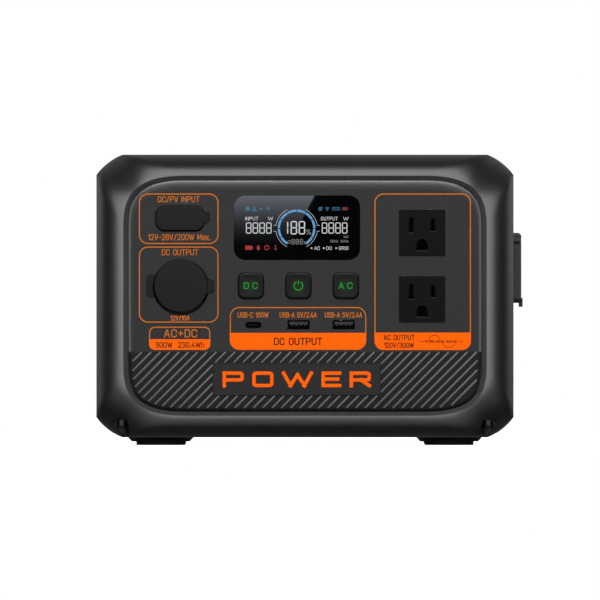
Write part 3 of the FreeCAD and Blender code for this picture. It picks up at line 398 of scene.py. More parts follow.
class Piece:
    """Points and faces of one piece, gathered from several parts. Points are in millimetres."""

    def __init__(self):
        self.points, self.faces = [], []

    def loft(self, loops, caps=True, ring=False):
        """Joins loops of equal count, each anticlockwise seen against the way the loops advance. In a
        ring the last loop joins the first."""
        count, total, start = len(loops[0]), len(loops), len(self.points)
        self.points += [Vector(p) for loop in loops for p in loop]
        for k in range(total if ring else total - 1):
            here, after = start + k * count, start + (k + 1) % total * count
            for i in range(count):
                j = (i + 1) % count
                self.faces.append((here + i, here + j, after + j, after + i))
        if caps and not ring:
            self.faces.append(tuple(reversed(range(start, start + count))))
            self.faces.append(tuple(range(len(self.points) - count, len(self.points))))

    def slab(self, outline, front, thick):
        """A flat plate: an anticlockwise (x, z) outline with its front face at y = front."""
        self.loft([flat_loop(outline, front + thick), flat_loop(outline, front)])

    def band(self, outer, inner, front, thick):
        """A flat ring between two (x, z) outlines of equal count."""
        back = front + thick
        self.loft([flat_loop(inner, front), flat_loop(inner, back), flat_loop(outer, back),
                   flat_loop(outer, front)], ring=True)

    def stroke(self, line, wide, front, thick, bevel=0):
        """An (x, z) line drawn with a width. It closes where its last point is its first. bevel
        narrows its front on each side."""
        closed = len(line) > 2 and math.dist(line[0], line[-1]) < 1e-6
        spots = [Vector(p) for p in (line[:-1] if closed else line)]
        loops = []
        for number, spot in enumerate(spots):
            before = spots[number - 1] if closed or number else spot
            after = spots[(number + 1) % len(spots)] if closed or number < len(spots) - 1 else spot
            first = (spot - before).normalized() if before != spot else (after - spot).normalized()
            last = (after - spot).normalized() if after != spot else first
            along = (first + last).normalized()
            reach = wide / 2 / max(MITRE_LIMIT, along.dot(last))
            side = Vector((-along.y, along.x))
            loops.append([(spot.x + side.x * off, y, spot.y + side.y * off) for off, y in
                          ((reach, front + thick), (reach - bevel, front), (bevel - reach, front),
                           (-reach, front + thick))])
        self.loft(loops, ring=closed)

    def bare(self, name, cut=None):
        """Makes the object alone. cut is a level above which nothing is kept, and the cut is closed."""
        mesh = bpy.data.meshes.new(name)
        mesh.from_pydata([p * MM for p in self.points], [], self.faces)
        work = bmesh.new()
        work.from_mesh(mesh)
        bmesh.ops.remove_doubles(work, verts=work.verts, dist=1e-7)
        if cut is not None:
            parts = work.verts[:] + work.edges[:] + work.faces[:]
            made = bmesh.ops.bisect_plane(work, geom=parts, plane_co=(0, 0, cut * MM), plane_no=(0, 0, 1),
                                          clear_outer=True)["geom_cut"]
            rim = [edge for edge in made if isinstance(edge, bmesh.types.BMEdge)]
            bmesh.ops.contextual_create(work, geom=rim)
        bmesh.ops.recalc_face_normals(work, faces=work.faces)
        work.to_mesh(mesh)
        work.free()
        piece = bpy.data.objects.new(name, mesh)
        bpy.context.scene.collection.objects.link(piece)
        return piece

    def make(self, name, body, slot, look=None, smooth=None, cut=None):
        """Makes the finished piece. Its material is its slot's own unless a look is named."""
        piece = self.bare(name, cut)
        piece.data.materials.append(MATERIALS[look or slot])
        if smooth:
            shade_smooth(piece.data, smooth)
        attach(piece, body)
        return piece


def arc(cx, cz, radius, start, end, steps):
    """Points on an arc, in degrees anticlockwise from +x."""
    turns = [math.radians(start + (end - start) * i / steps) for i in range(steps + 1)]
    return [(cx + radius * math.cos(t), cz + radius * math.sin(t)) for t in turns]


def circle(cx, cz, radius, steps=48):
    return arc(cx, cz, radius, 0, 360, steps)[:-1]


def rounded(left, right, low, top, corner, steps=8):
    """An anticlockwise rectangle with round corners."""
    points = []
    for number, (x, z) in enumerate(((right - corner, top - corner), (left + corner, top - corner),
                                     (left + corner, low + corner), (right - corner, low + corner))):
        points += arc(x, z, corner, 90 * number, 90 * number + 90, steps)
    return points


def rounded_at(x, z, wide, tall, corner, steps=8):
    return rounded(x - wide / 2, x + wide / 2, z - tall / 2, z + tall / 2, corner, steps)


# ---- lettering

SHARP_TURN = 100
LAYER = 0.008

# A plain drafting alphabet, six units tall. A glyph is its width and its strokes, and a stroke is a
# list of x, z points, each with the radius of its corner where that is round.
ROUND_O = [(1.8, 0), (3.6, 0, 1.7), (3.6, 6, 1.7), (0, 6, 1.7), (0, 0, 1.7), (1.8, 0)]
STEM = [(0, 0), (0, 6)]
BOWL = [(0, 6), (3.6, 6, 1.4), (3.6, 2.7, 1.4), (0, 2.7)]
GLYPHS = {
    " ": (1.6, []),
    "A": (4, [[(0, 0), (2, 6), (4, 0)], [(0.7, 1.9), (3.3, 1.9)]]),
    "B": (3.6, [[(0, 0), (0, 6), (3.3, 6, 1.3), (3.3, 3.2, 1.3), (0, 3.2)],
                [(0, 3.2), (3.6, 3.2, 1.4), (3.6, 0, 1.4), (0, 0)]]),
    "C": (3.6, [[(3.6, 4.3), (3.6, 6, 1.6), (0, 6, 1.6), (0, 0, 1.6), (3.6, 0, 1.6), (3.6, 1.7)]]),
    "D": (3.6, [[(0, 0), (0, 6), (3.6, 6, 1.8), (3.6, 0, 1.8), (0, 0)]]),
    "E": (3.3, [[(3.3, 6), (0, 6), (0, 0), (3.3, 0)], [(0, 3.1), (2.9, 3.1)]]),
    "G": (3.6, [[(3.6, 4.3), (3.6, 6, 1.6), (0, 6, 1.6), (0, 0, 1.6), (3.6, 0, 1.6), (3.6, 2.8), (2, 2.8)]]),
    "H": (3.6, [STEM, [(3.6, 0), (3.6, 6)], [(0, 3.1), (3.6, 3.1)]]),
    "I": (0, [STEM]),
    "M": (4.4, [[*STEM, (2.2, 1.6), (4.4, 6), (4.4, 0)]]),
    "N": (3.6, [[*STEM, (3.6, 0), (3.6, 6)]]),
    "O": (3.6, [ROUND_O]),
    "P": (3.6, [STEM, BOWL]),
    "R": (3.6, [STEM, BOWL, [(1.9, 2.7), (3.6, 0)]]),
    "S": (3.5, [[(3.5, 4.5), (3.5, 6, 1.4), (0, 6, 1.5), (0, 3.1, 1.4), (3.5, 3.1, 1.4), (3.5, 0, 1.5),
                 (0, 0, 1.4), (0, 1.5)]]),
    "T": (3.6, [[(0, 6), (3.6, 6)], [(1.8, 6), (1.8, 0)]]),
    "U": (3.6, [[(0, 6), (0, 0, 1.7), (3.6, 0, 1.7), (3.6, 6)]]),
    "V": (3.8, [[(0, 6), (1.9, 0), (3.8, 6)]]),
    "W": (5.6, [[(0, 6), (1.4, 0), (2.8, 5.2), (4.2, 0), (5.6, 6)]]),
    "0": (3.4, [[(x * 3.4 / 3.6, *rest) for x, *rest in ROUND_O]]),
    "1": (1.4, [[(0, 4.6), (1.4, 6), (1.4, 0)]]),
    "2": (3.4, [[(0, 4.5), (0, 6, 1.5), (3.4, 6, 1.6), (3.4, 3.5, 1.2), (0, 0), (3.5, 0)]]),
    "3": (3.4, [[(0, 4.7), (0, 6, 1.3), (3.3, 6, 1.4), (3.3, 3.2, 1.2), (1.3, 3.2)],
                [(1.3, 3.2), (3.4, 3.2, 1.3), (3.4, 0, 1.5), (0, 0, 1.4), (0, 1.4)]]),
    "4": (3.7, [[(2.5, 6), (0, 1.5), (3.7, 1.5)], [(2.8, 3.2), (2.8, 0)]]),
    "5": (3.4, [[(3.2, 6), (0.2, 6), (0, 3.4), (3.4, 3.6, 1.5), (3.4, 0, 1.6), (0, 0, 1.4), (0, 1.3)]]),
    "6": (3.4, [[(3.1, 6), (0.2, 6, 2.4), (0, 0, 1.6), (3.4, 0, 1.5), (3.4, 3.5, 1.5), (0.1, 3.5)]]),
    "8": (3.4, [[(1.7, 3.2), (0.1, 3.2, 1.3), (0.1, 6, 1.3), (3.3, 6, 1.3), (3.3, 3.2, 1.3), (1.7, 3.2)],
                [(1.7, 3.2), (0, 3.2, 1.4), (0, 0, 1.5), (3.4, 0, 1.5), (3.4, 3.2, 1.4), (1.7, 3.2)]]),
    "a": (3, [[(0.2, 4.3), (3, 4.3, 1.2), (3, 0)], [(3, 2.5), (0, 2.5, 1.1), (0, 0, 1.1), (3, 0)]]),
    "h": (3, [STEM, [(0, 4), (3, 4, 1.3), (3, 0)]]),
    "x": (3, [[(0, 0), (3, 4.3)], [(0, 4.3), (3, 0)]]),
    "z": (2.8, [[(0, 4.3), (2.8, 4.3), (0, 0), (2.8, 0)]]),
    "%": (4, [[(0.4, 0), (3.6, 6)], [(0, 4.2), (1.4, 4.2), (1.4, 5.8), (0, 5.8), (0, 4.2)],
              [(2.6, 0.2), (4, 0.2), (4, 1.8), (2.6, 1.8), (2.6, 0.2)]]),
    "/": (2.4, [[(0, -0.5), (2.4, 6.3)]]),
    "-": (1.9, [[(0, 2.8), (1.9, 2.8)]]),
    "+": (3.4, [[(0, 3), (3.4, 3)], [(1.7, 1.3), (1.7, 4.7)]]),
    ".": (0, [[(0, -0.2), (0, 0.5)]]),
}


def soften(points, share, steps=4):
    """A stroke's points with its round corners filled in."""
    line = []
    for number, (x, z, *radius) in enumerate(points):
        spot = Vector((x, z))
        if not radius:
            line.append(spot)
            continue
        ends = []
        for other in (points[number - 1], points[number + 1]):
            away = Vector(other[:2]) - spot
            room = away.length / 2 if len(other) > 2 else away.length
            ends.append(spot + away.normalized() * min(radius[0] * share, room))
        for step in range(steps + 1):
            part = step / steps
            line.append(ends[0] * (1 - part) ** 2 + spot * 2 * part * (1 - part) + ends[1] * part ** 2)
    kept = line[:1]
    for spot in line[1:]:
        if (spot - kept[-1]).length > 0.01:
            kept.append(spot)
    return kept


def split_sharp(line):
    """Breaks a stroke where it turns back sharply. A closed stroke stays whole if it never does."""
    closed = (line[0] - line[-1]).length < 1e-6
    breaks = [i for i in range(1, len(line) - 1)
              if (line[i] - line[i - 1]).angle(line[i + 1] - line[i]) > math.radians(SHARP_TURN)]
    if not breaks:
        return [(line, not closed)]
    edges = [0] + breaks + [len(line) - 1]
    return [(line[first:last + 1], True) for first, last in zip(edges, edges[1:])]


def lettering(piece, text, left, right, low, top, wide, front, thick, gap=1.7, share=1, bevel=0):
    """Draws text to fill a box, with strokes of one width. gap is the space between letters. Each
    stroke stands a hair in front of the last, so that no two faces share a plane."""
    total = sum(GLYPHS[c][0] for c in text) + gap * (len(text) - 1)
    across, up = (right - left - wide) / total, (top - low - wide) / 6
    place = 0
    for character in text:
        layer = 0
        for points in GLYPHS[character][1]:
            for part, is_open in split_sharp(soften(points, share)):
                line = [Vector((left + wide / 2 + (place + p.x) * across, low + wide / 2 + p.y * up))
                        for p in part]
                if is_open:
                    line[0] = line[0] + (line[0] - line[1]).normalized() * wide / 2
                    line[-1] = line[-1] + (line[-1] - line[-2]).normalized() * wide / 2
                piece.stroke(line, wide, front - layer * LAYER, thick, bevel)
                layer += 1
        place += GLYPHS[character][0] + gap


# ---- outlines of the case and panel

PANEL_HALF, PANEL_LOW, PANEL_TOP = 103, 20, 154.8
OUTER = ((33, 0), (4.9, 0), (0, 10.6), (0, 26.3))
INNER = ((29.8, 0), (4, 0), (0, 9.6), (0, 21))
EDGE_SIDE, EDGE_LOW, EDGE_TOP, EDGE_DEEP = 3.2, 2.6, 5.3, 3
CORNER_STEPS = 24


def bezier(poles, part):
    rest = 1 - part
    weights = (rest ** 3, 3 * rest ** 2 * part, 3 * rest * part ** 2, part ** 3)
    return tuple(sum(weight * pole[axis] for weight, pole in zip(weights, poles)) for axis in (0, 1))


def mix(a, b, part):
    return a + (b - a) * part


def mix_poles(first, last, part):
    return [(mix(a, c, part), mix(b, d, part)) for (a, b), (c, d) in zip(first, last)]


def corner_outline(half, low, top, poles, steps=14):
    """An anticlockwise outline with four like corners. The poles of a corner's Bezier curve are
    offsets inward from the side and from the level edge."""
    run = [bezier(poles, i / steps) for i in range(steps + 1)]
    points = []
    for side, up in ((1, 1), (-1, 1), (-1, -1), (1, -1)):
        level = top if up > 0 else low
        corner = [(CENTRE_X + side * (half - a), level - up * b) for a, b in run]
        points += corner[::-1] if side == up else corner
    return points


def panel_loop(part):
    """The panel's outline. part goes from 0, its outer edge, to 1, its flat face."""
    return corner_outline(PANEL_HALF - EDGE_SIDE * part, PANEL_LOW + EDGE_LOW * part,
                          PANEL_TOP - EDGE_TOP * part, mix_poles(OUTER, INNER, part))


def below(outline, level):
    """The part of an outline under a level line."""
    kept = []
    for (x0, z0), (x1, z1) in zip(outline, outline[1:] + outline[:1]):
        if z0 <= level:
            kept.append((x0, z0))
        if (z0 <= level) != (z1 <= level):
            kept.append((x0 + (x1 - x0) * (level - z0) / (z1 - z0), level))
    return kept


def crossings(outline, x, z, direction):
    """Where a line through (x, z) crosses an outline, as distances along the direction."""
    found = []
    for (x0, z0), (x1, z1) in zip(outline, outline[1:] + outline[:1]):
        across, up = x1 - x0, z1 - z0
        turn = direction[0] * up - direction[1] * across
        if abs(turn) > 1e-9:
            along = ((x0 - x) * direction[1] - (z0 - z) * direction[0]) / turn
            if 0 <= along < 1:
                found.append(((x0 - x) * up - (z0 - z) * across) / turn)
    return sorted(found)


# ---- front bezel and rear cover

CASE_LOW, CASE_HIGH = box_mm("front_bezel")
CASE_HALF = (CASE_HIGH.x - CASE_LOW.x) / 2
CREST_Y, PARTING = -CASE_LOW.y, -CASE_HIGH.y
SHOULDER, WALL = CREST_Y - 18, 3
CREST_HALF, CREST_LOW, CREST_TOP = 106.1, 17.4, 157.6
CREST_POLES = ((36, 0), (6.5, 0), (0, 11.6), (0, 29))
CASE_POLES = ((15.5, 0), (9.14, 2.15), (3.68, 6.38), (0, 12))
SEAT_GAP, SEAT_DEEP, FLANGE = 0.15, 3.9, 3.3
POCKET_Y = -CREST_Y + SEAT_DEEP + 2.7
REAR_EDGE = ((0.2, 0), (0, 0.1), (-0.3, 0.9), (-0.6, 1.2))
SLOPE_DEEP = 8
RIM_STEPS, SHARP_EDGE = 24, 40
TOP_EASE, LOW_EASE = 0.9, 0.65
CORNER_DEEPER = 9
CORNER_SPREAD, CORNER_FADE = 0.4, 12
BORE_X, BORE_Y, BORE_R, BORE_TOP = 107.3, 68.5, 4.7, 14.6


def rim_outline(part):
    """The outside, from part 0 at the silhouette to part 1 at the crest. The silhouette's corners
    meet its sides at an angle. That angle fades quickly inward, and the corners spread quickly."""
    spread, fade = part ** CORNER_SPREAD, (1 - part) ** CORNER_FADE
    ends = [mix(CASE_POLES[i][axis], CREST_POLES[i][axis], spread) for i, axis in ((0, 0), (3, 1))]
    near = CASE_POLES[1][1] * fade, CASE_POLES[2][0] * fade
    halfway = mix_poles([bezier(CASE_POLES, 0.5)], [bezier(CREST_POLES, 0.5)], part)[0]
    poles = ((ends[0], 0), ((8 * halfway[0] - ends[0]) / 3 - near[1], near[0]),
             (near[1], (8 * halfway[1] - ends[1]) / 3 - near[0]), (0, ends[1]))
    return corner_outline(mix(CASE_HALF, CREST_HALF, part), mix(CASE_LOW.z, CREST_LOW, part),
                          mix(CASE_HIGH.z, CREST_TOP, part), poles, CORNER_STEPS)


def rim_loops(side):
    """Loops over the rounded edge, from the parting line to the crest. The section is an ellipse
    along the sides and slopes more evenly across the corners."""
    loops = [flat_loop(rim_outline(0), side * PARTING)]
    bump = [math.sin(math.pi * i / CORNER_STEPS) ** 2 for i in range(CORNER_STEPS + 1)]
    sections = [(2 - ease * b, SHOULDER - CORNER_DEEPER * b)
                for ease in (TOP_EASE, TOP_EASE, LOW_EASE, LOW_EASE) for b in bump]
    for step in range(RIM_STEPS + 1):
        share = math.cos(math.pi / 2 * step / RIM_STEPS)
        loop = []
        for (x, z), (power, shoulder) in zip(rim_outline(1 - share), sections):
            rise = math.sqrt(max(0, 1 - share ** power))
            loop.append((x, side * mix(shoulder, CREST_Y, rise), z))
        loops.append(loop)
    return loops


def inner_case():
    return corner_outline(CASE_HALF - WALL, CASE_LOW.z + WALL, CASE_HIGH.z - WALL, CASE_POLES, CORNER_STEPS)


def panel_seat(grow):
    return corner_outline(PANEL_HALF + grow, PANEL_LOW - grow, PANEL_TOP + grow, OUTER, CORNER_STEPS)


def bore_corners(piece, side):
    """Cuts the upright screw bores that break out of the two bottom corners."""
    cutter = Piece()
    for hand in (-1, 1):
        ring = circle(CENTRE_X + hand * BORE_X, side * BORE_Y, BORE_R)
        cutter.loft([[(x, y, z) for x, y in ring] for z in (CASE_LOW.z - 2, BORE_TOP)])
    tool = cutter.bare("bore_cutter")
    cut = piece.modifiers.new("bores", "BOOLEAN")
    cut.object, cut.operation, cut.solver = tool, "DIFFERENCE", "EXACT"
    bpy.context.view_layer.update()
    bored = bpy.data.meshes.new_from_object(piece.evaluated_get(bpy.context.evaluated_depsgraph_get()))
    piece.modifiers.clear()
    piece.data = bored
    bpy.data.objects.remove(tool)
    shade_smooth(bored, SHARP_EDGE)


def make_bezel():
    """The front moulding: the rounded rim, a slope down to the panel's seat, and the wall behind."""
    rim = Piece()
    loops = rim_loops(-1)
    crest, seat = rim_outline(1), panel_seat(SEAT_GAP)
    for part in (1 / 3, 2 / 3, 1):
        loops.append(flat_loop(mix_poles(crest, seat, part), -CREST_Y + SEAT_DEEP * part))
    for outline, y in ((seat, POCKET_Y), (panel_seat(FLANGE), POCKET_Y), (panel_seat(FLANGE), -SHOULDER),
                       (inner_case(), -SHOULDER), (inner_case(), -PARTING)):
        loops.append(flat_loop(outline, y))
    rim.loft(loops, ring=True)
    piece = rim.make("bezel", "case", "shell_plastic", smooth=SHARP_EDGE)
    bore_corners(piece, -1)
    tone_faces(piece)
    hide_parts("front_bezel")
    return piece


def make_rear():
    """The rear cover: the same rim round a shallow recess."""
    rim = Piece()
    loops = [flat_loop(panel_seat(0), CREST_Y - REAR_EDGE[-1][1] - WALL), flat_loop(panel_seat(0), SHOULDER),
             flat_loop(inner_case(), SHOULDER), flat_loop(inner_case(), PARTING)]
    loops += rim_loops(1)
    loops += [flat_loop(panel_seat(grow), CREST_Y - sink) for grow, sink in REAR_EDGE]
    rim.loft(loops)
    piece = rim.make("rear_shell", "case", "shell_plastic", smooth=SHARP_EDGE)
    bore_corners(piece, 1)
    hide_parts("rear_cover")
    return piece


def tone_faces(bezel):
    """The bezel's slope inside its crest is rougher than the outside and painted lighter, a painted light in
    place of the light that falls on it. Its bores get painted shade: darker and less glossy.
    """
    centre = middle("front_panel") * MM

    def in_slope(face):
        out = face.center - centre
        inward = face.normal.x * out.x + face.normal.z * out.z
        return inward < -0.01 * out.length and face.center.y < -(SHOULDER + SLOPE_DEEP) * MM

    def in_bore(face):
        away = math.dist((abs(face.center.x / MM - CENTRE_X), -face.center.y / MM), (BORE_X, BORE_Y))
        return away < BORE_R + 0.05 and face.center.z / MM < BORE_TOP + 0.1
    # Painted light on the slope.
    paint(bezel, "bezel_slope_painted_light", in_slope)
    # Painted shade in the bores.
    paint(bezel, "bore_painted_shade", in_bore)


# ---- ribbed trim

TRIM_TOP = box_mm("ribbed_trim")[1].z
SKIN, SKIN_BACK, EDGE_STEPS = 0.1, 0.4, 6
RIB_PITCH, RIB_SHIFT, RIB_REACH = 5.43, 1.6, 30
RIB_WIDE, RIB_TALL, RIB_STEPS, RIB_SHORTEST = 1.15, 0.45, 8, 1.5
RIB_FIELD, PLATE_MARGIN = 0.68, 0.35
RIB_TAPER = ((0, 0.3), (0.2, 0.8), (0.5, 1))
LEAN = math.sqrt(0.5)


def make_trim():
    """The dark skin under the ribs, wrapped over the panel's rounded edge and cut level at its top."""
    skin = Piece()
    loops = [flat_loop(panel_loop(0), FACE_Y + EDGE_DEEP + SKIN_BACK)]
    for step in range(EDGE_STEPS + 1):
        angle = math.pi / 2 * step / EDGE_STEPS
        y = FACE_Y + EDGE_DEEP * (1 - math.sin(angle)) - SKIN
        loops.append(flat_loop(panel_loop(1 - math.cos(angle)), y))
    skin.loft(loops)
    piece = skin.make("trim_skin", "case", "trim_plastic", smooth=40, cut=TRIM_TOP)
    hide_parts("ribbed_trim")


def make_ribs():
    """Diagonal ribs with round crests, broken round the name plate. They are painted lighter than the skin
    under them, a painted highlight.
    """
    field = below(panel_loop(RIB_FIELD), TRIM_TOP - 0.05)
    low, high = box_mm("name_plate")
    plate = rounded(low.x - PLATE_MARGIN, high.x + PLATE_MARGIN, low.z - PLATE_MARGIN, high.z + PLATE_MARGIN,
                    0.9, 2)
    z = (PANEL_LOW + TRIM_TOP) / 2
    ribs = Piece()
    for number in range(-RIB_REACH, RIB_REACH + 1):
        x = CENTRE_X + number * RIB_PITCH + RIB_SHIFT
        ends, holes = crossings(field, x, z, (LEAN, LEAN)), crossings(plate, x, z, (LEAN, LEAN))
        spans = list(zip(ends[::2], ends[1::2]))
        for near, far in zip(holes[::2], holes[1::2]):
            spans = [span for a, b in spans for span in ((a, min(b, near)), (max(a, far), b))]
        for start, end in spans:
            if end - start > RIB_SHORTEST:
                add_rib(ribs, x, z, start, end)
    ribs.make("trim_ribs", "case", "trim_plastic", "rib_painted_highlight", smooth=60)


def add_rib(ribs, x, z, start, end):
    """One rib: a half round bar whose ends run out into the skin."""
    base = FACE_Y - SKIN + 0.02
    stations = [(start + run, share) for run, share in RIB_TAPER]
    stations += [(end - run, share) for run, share in RIB_TAPER[::-1]]
    loops = []
    for along, share in stations:
        loop = []
        for step in range(RIB_STEPS + 1):
            turn = math.pi * step / RIB_STEPS
            off, rise = math.cos(turn) * RIB_WIDE / 2 * share, math.sin(turn) * RIB_TALL * share
            loop.append((x + LEAN * (along + off), base - rise, z + LEAN * (along - off)))
        loops.append(loop)
    ribs.loft(loops)


# ---- covers and straps

LID_STEPS, WALL_SHARE, TAB_LEAN, TAB_SINK = 4, 2, 0.35, 0.2
CAR_Z, CAR_RADIUS, CAR_STEPS = 93, 16.4, 72
CAR_BACK, CAR_LEAN, CAR_EDGE = FACE_Y - 0.4, 0.42, 0.4
SKIRT_IN, SKIRT_OUT, SKIRT_ROUND = 10.8, 12, 0.4
INPUT_WIDE, INPUT_TALL, INPUT_CORNER = 28.6, 15.5, 5.3
PLUG_WIDE, PLUG_TALL, PLUG_CORNER = 20.4, 9.4, 3
INPUT_BACK, INPUT_LEAN, INPUT_EDGE = FACE_Y - 0.2, 0.2, 0.3

# A tab's corners: how far inside the cover's right end, and how far over its middle.
CAR_TAB = ((6, -4.4), (3, -4.4), (0, -3), (0, 3), (3, 4.4), (6, 4.4))
INPUT_TAB = ((4.9, -1.6), (4.2, -2.9), (1.6, -2.9), (0, -1.4), (0, 3.1), (0.3, 3.4), (4.9, 3.4))


def cap_loops(outline_at, back, front, lean, corner):
    """Loops for a lid, from the back to the front: walls that lean inward and up, then a rounded edge. The
    walls, which get painted shade, show as a dark line round all but the top."""
    loops = [flat_loop(outline_at(0, -lean), back)]
    for step in range(LID_STEPS + 1):
        angle = math.pi / 2 * step / LID_STEPS
        inset = corner * (1 - math.cos(angle)) + lean * WALL_SHARE
        loops.append(flat_loop(outline_at(inset, lean), front + corner * (1 - math.sin(angle))))
    return loops


def add_tab(cover, right, z, corners, back, front):
    """A pull tab with leaning walls. The outline is anticlockwise and convex."""
    outline = [(right - inset, z + rise) for inset, rise in corners]
    centre = sum((Vector(p) for p in outline), Vector((0, 0))) / len(outline)
    top = []
    for corner in outline:
        away = Vector(corner) - centre
        top.append(tuple(centre + away * (1 - TAB_LEAN / away.length)))
    cover.loft([flat_loop(outline, back), flat_loop(top, front)])


def paint_lid_shade(piece):
    """Paints shade on the side walls of a lid: a near black painted shade, the dark look of a gap."""
    paint(piece, "lid_wall", lambda face: face.normal.y > -0.6)


def make_car_cover():
    """The round cover: a lid, the ring skirt that seats in the socket, and a tab."""
    low, high = box_mm("car_socket_cover")
    x = low.x + CAR_RADIUS
    cover = Piece()
    cover.loft(cap_loops(lambda inset, lift: circle(x, CAR_Z + lift, CAR_RADIUS - inset, CAR_STEPS),
                         CAR_BACK, low.y, CAR_LEAN, CAR_EDGE))
    skirt = ((CAR_BACK, SKIRT_IN), (high.y, SKIRT_IN + 0.1), (high.y, SKIRT_OUT - SKIRT_ROUND),
             (high.y - SKIRT_ROUND, SKIRT_OUT), (CAR_BACK, SKIRT_OUT))
    cover.loft([flat_loop(circle(x, CAR_Z, radius, CAR_STEPS), y) for y, radius in skirt], caps=False)
    add_tab(cover, high.x, CAR_Z, CAR_TAB, CAR_BACK - TAB_SINK, CAR_BACK - 1.4)
    piece = cover.make("car_cover", "car_socket_flap", "soft_rubber", smooth=30)
    # Painted shade on the lid's side walls.
    paint_lid_shade(piece)
    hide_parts("car_socket_cover")


def make_input_cover():
    """The oblong cover: a lid, the plug behind it, and a tab."""
    low, high = box_mm("dc_input_cover")
    x, z = low.x + INPUT_WIDE / 2, middle("dc_input_cover").z
    cover = Piece()

    def outline(inset, lift):
        return rounded_at(x, z + lift, INPUT_WIDE - 2 * inset, INPUT_TALL - 2 * inset, INPUT_CORNER - inset)
    cover.loft(cap_loops(outline, INPUT_BACK, low.y, INPUT_LEAN, INPUT_EDGE))
    plug = rounded_at(x, z, PLUG_WIDE, PLUG_TALL, PLUG_CORNER)
    cover.loft([flat_loop(plug, y) for y in (high.y, INPUT_BACK - 0.5)])
    add_tab(cover, high.x, z, INPUT_TAB, INPUT_BACK - TAB_SINK, low.y - 0.1)
    piece = cover.make("input_cover", "dc_input_flap", "soft_rubber", smooth=30)
    # Painted shade on the lid's side walls.
    paint_lid_shade(piece)
    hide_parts("dc_input_cover")


def make_straps():
    """The thin rubber straps that run under the hinged edges of the two covers."""
    left, reach, tall, radius = box_mm("cover_straps")[0].x + 0.5, 6.2, 6.7, 2.2
    outline = [(left + reach, CAR_Z + tall)] + arc(left + radius, CAR_Z + tall - radius, radius, 90, 180, 6)
    outline += arc(left + radius, CAR_Z - tall + radius, radius, 180, 270, 6) + [(left + reach, CAR_Z - tall)]
    strap = Piece()
    strap.slab(outline, FACE_Y - 0.35, 0.35)
    piece = strap.make("car_strap", "case", "soft_rubber")
    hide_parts("cover_straps")
    left, z = box_mm("dc_input_cover")[0].x, middle("dc_input_cover").z
    strap = Piece()
    strap.slab(rounded_at(left + 1, z, 4, 9, 0.8, 4), FACE_Y - 0.1, 0.1)
    strap.make("input_strap", "case", "soft_rubber", "panel_plastic")


# ---- buttons

BUTTON_WIDE, BUTTON_TALL, BUTTON_CORNER, BUTTON_LIP = 15.2, 15.5, 3.8, FACE_Y + 2.6
EDGE_RUN, EDGE_DROP, ROUND_STEPS = 1.3, 1.1, 5
DISH = ((2.1, 0.05), (2.6, 0.15), (4.5, 0.18))
SYMBOL_THICK, LETTER_WIDE, MARK_WIDE = 0.04, 0.52, 0.56


def make_button(node, body, symbol):
    """A cap with a dished face and a rounded edge, and its lit symbol."""
    low, high = box_mm(node)
    mid, front = middle(node), low.y
    stations = [(-1, BUTTON_LIP + 1), (-1, BUTTON_LIP), (0, BUTTON_LIP), (0, FACE_Y + 0.5)]
    for step in range(ROUND_STEPS + 1):
        angle = math.pi / 2 * step / ROUND_STEPS
        stations.append((EDGE_RUN * (1 - math.cos(angle)), front + EDGE_DROP * (1 - math.sin(angle))))
    stations += [(inset, front + sink) for inset, sink in DISH]
    cap = Piece()
    cap.loft([flat_loop(rounded_at(mid.x, mid.z, BUTTON_WIDE - 2 * inset, BUTTON_TALL - 2 * inset,
                                   BUTTON_CORNER - 0.7 * inset), y) for inset, y in stations])
    cap.loft([flat_loop(circle(mid.x, mid.z, 2, 24), y) for y in (high.y, BUTTON_LIP + 1)])
    add_glow_face(node + "_face", Vector((mid.x, front, mid.z)))
    piece = cap.make(node + "_cap", body, "button_plastic", node + "_face", smooth=50)
    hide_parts(node)
    glyph = Piece()
    symbol(glyph, mid.x, mid.z + 0.1, front + DISH[-1][1] - SYMBOL_THICK)
    glyph.make(node + "_symbol", body, "button_plastic", "lit_green")
    return piece


def letters(pair):
    """A function that draws two letters side by side."""
    def draw(piece, x, z, y):
        for letter, left, right in zip(pair, (-4.2, 0.9), (-1.2, 4.0)):
            lettering(piece, letter, x + left, x + right, z - 1.9, z + 1.9, LETTER_WIDE, y, SYMBOL_THICK)
    return draw


def power_mark(piece, x, z, y):
    piece.stroke(arc(x, z - 0.1, 2.55, 120, 420, 28), MARK_WIDE, y, SYMBOL_THICK)
    piece.stroke([(x, z + 0.8), (x, z + 2.8)], MARK_WIDE, y, SYMBOL_THICK)


# ---- printed frames and labels

LINE_WIDE, LABEL_WIDE, WAVE_WIDE = 0.62, 0.42, 0.35
PRINT_THICK = 0.05
PRINT_Y = FACE_Y - PRINT_THICK
FILL_Y, INK_Y = PRINT_Y - 0.02, PRINT_Y - 0.04

# Left, right, bottom, top and corner of each frame, and the top of its orange ground if it has one.
FRAMES = (
    (-100, -53.5, 117.7, 147.2, 5.3, None), (-100, -53.5, 71.8, 116.2, 5.3, None),
    (-94.05, -58.3, 55.9, 69.4, 3.4, 62.1), (-46.9, 32.8, 55.9, 80.9, 5.6, 65.8),
    (37.6, 93.9, 55.8, 147.2, 5.2, 66),
)
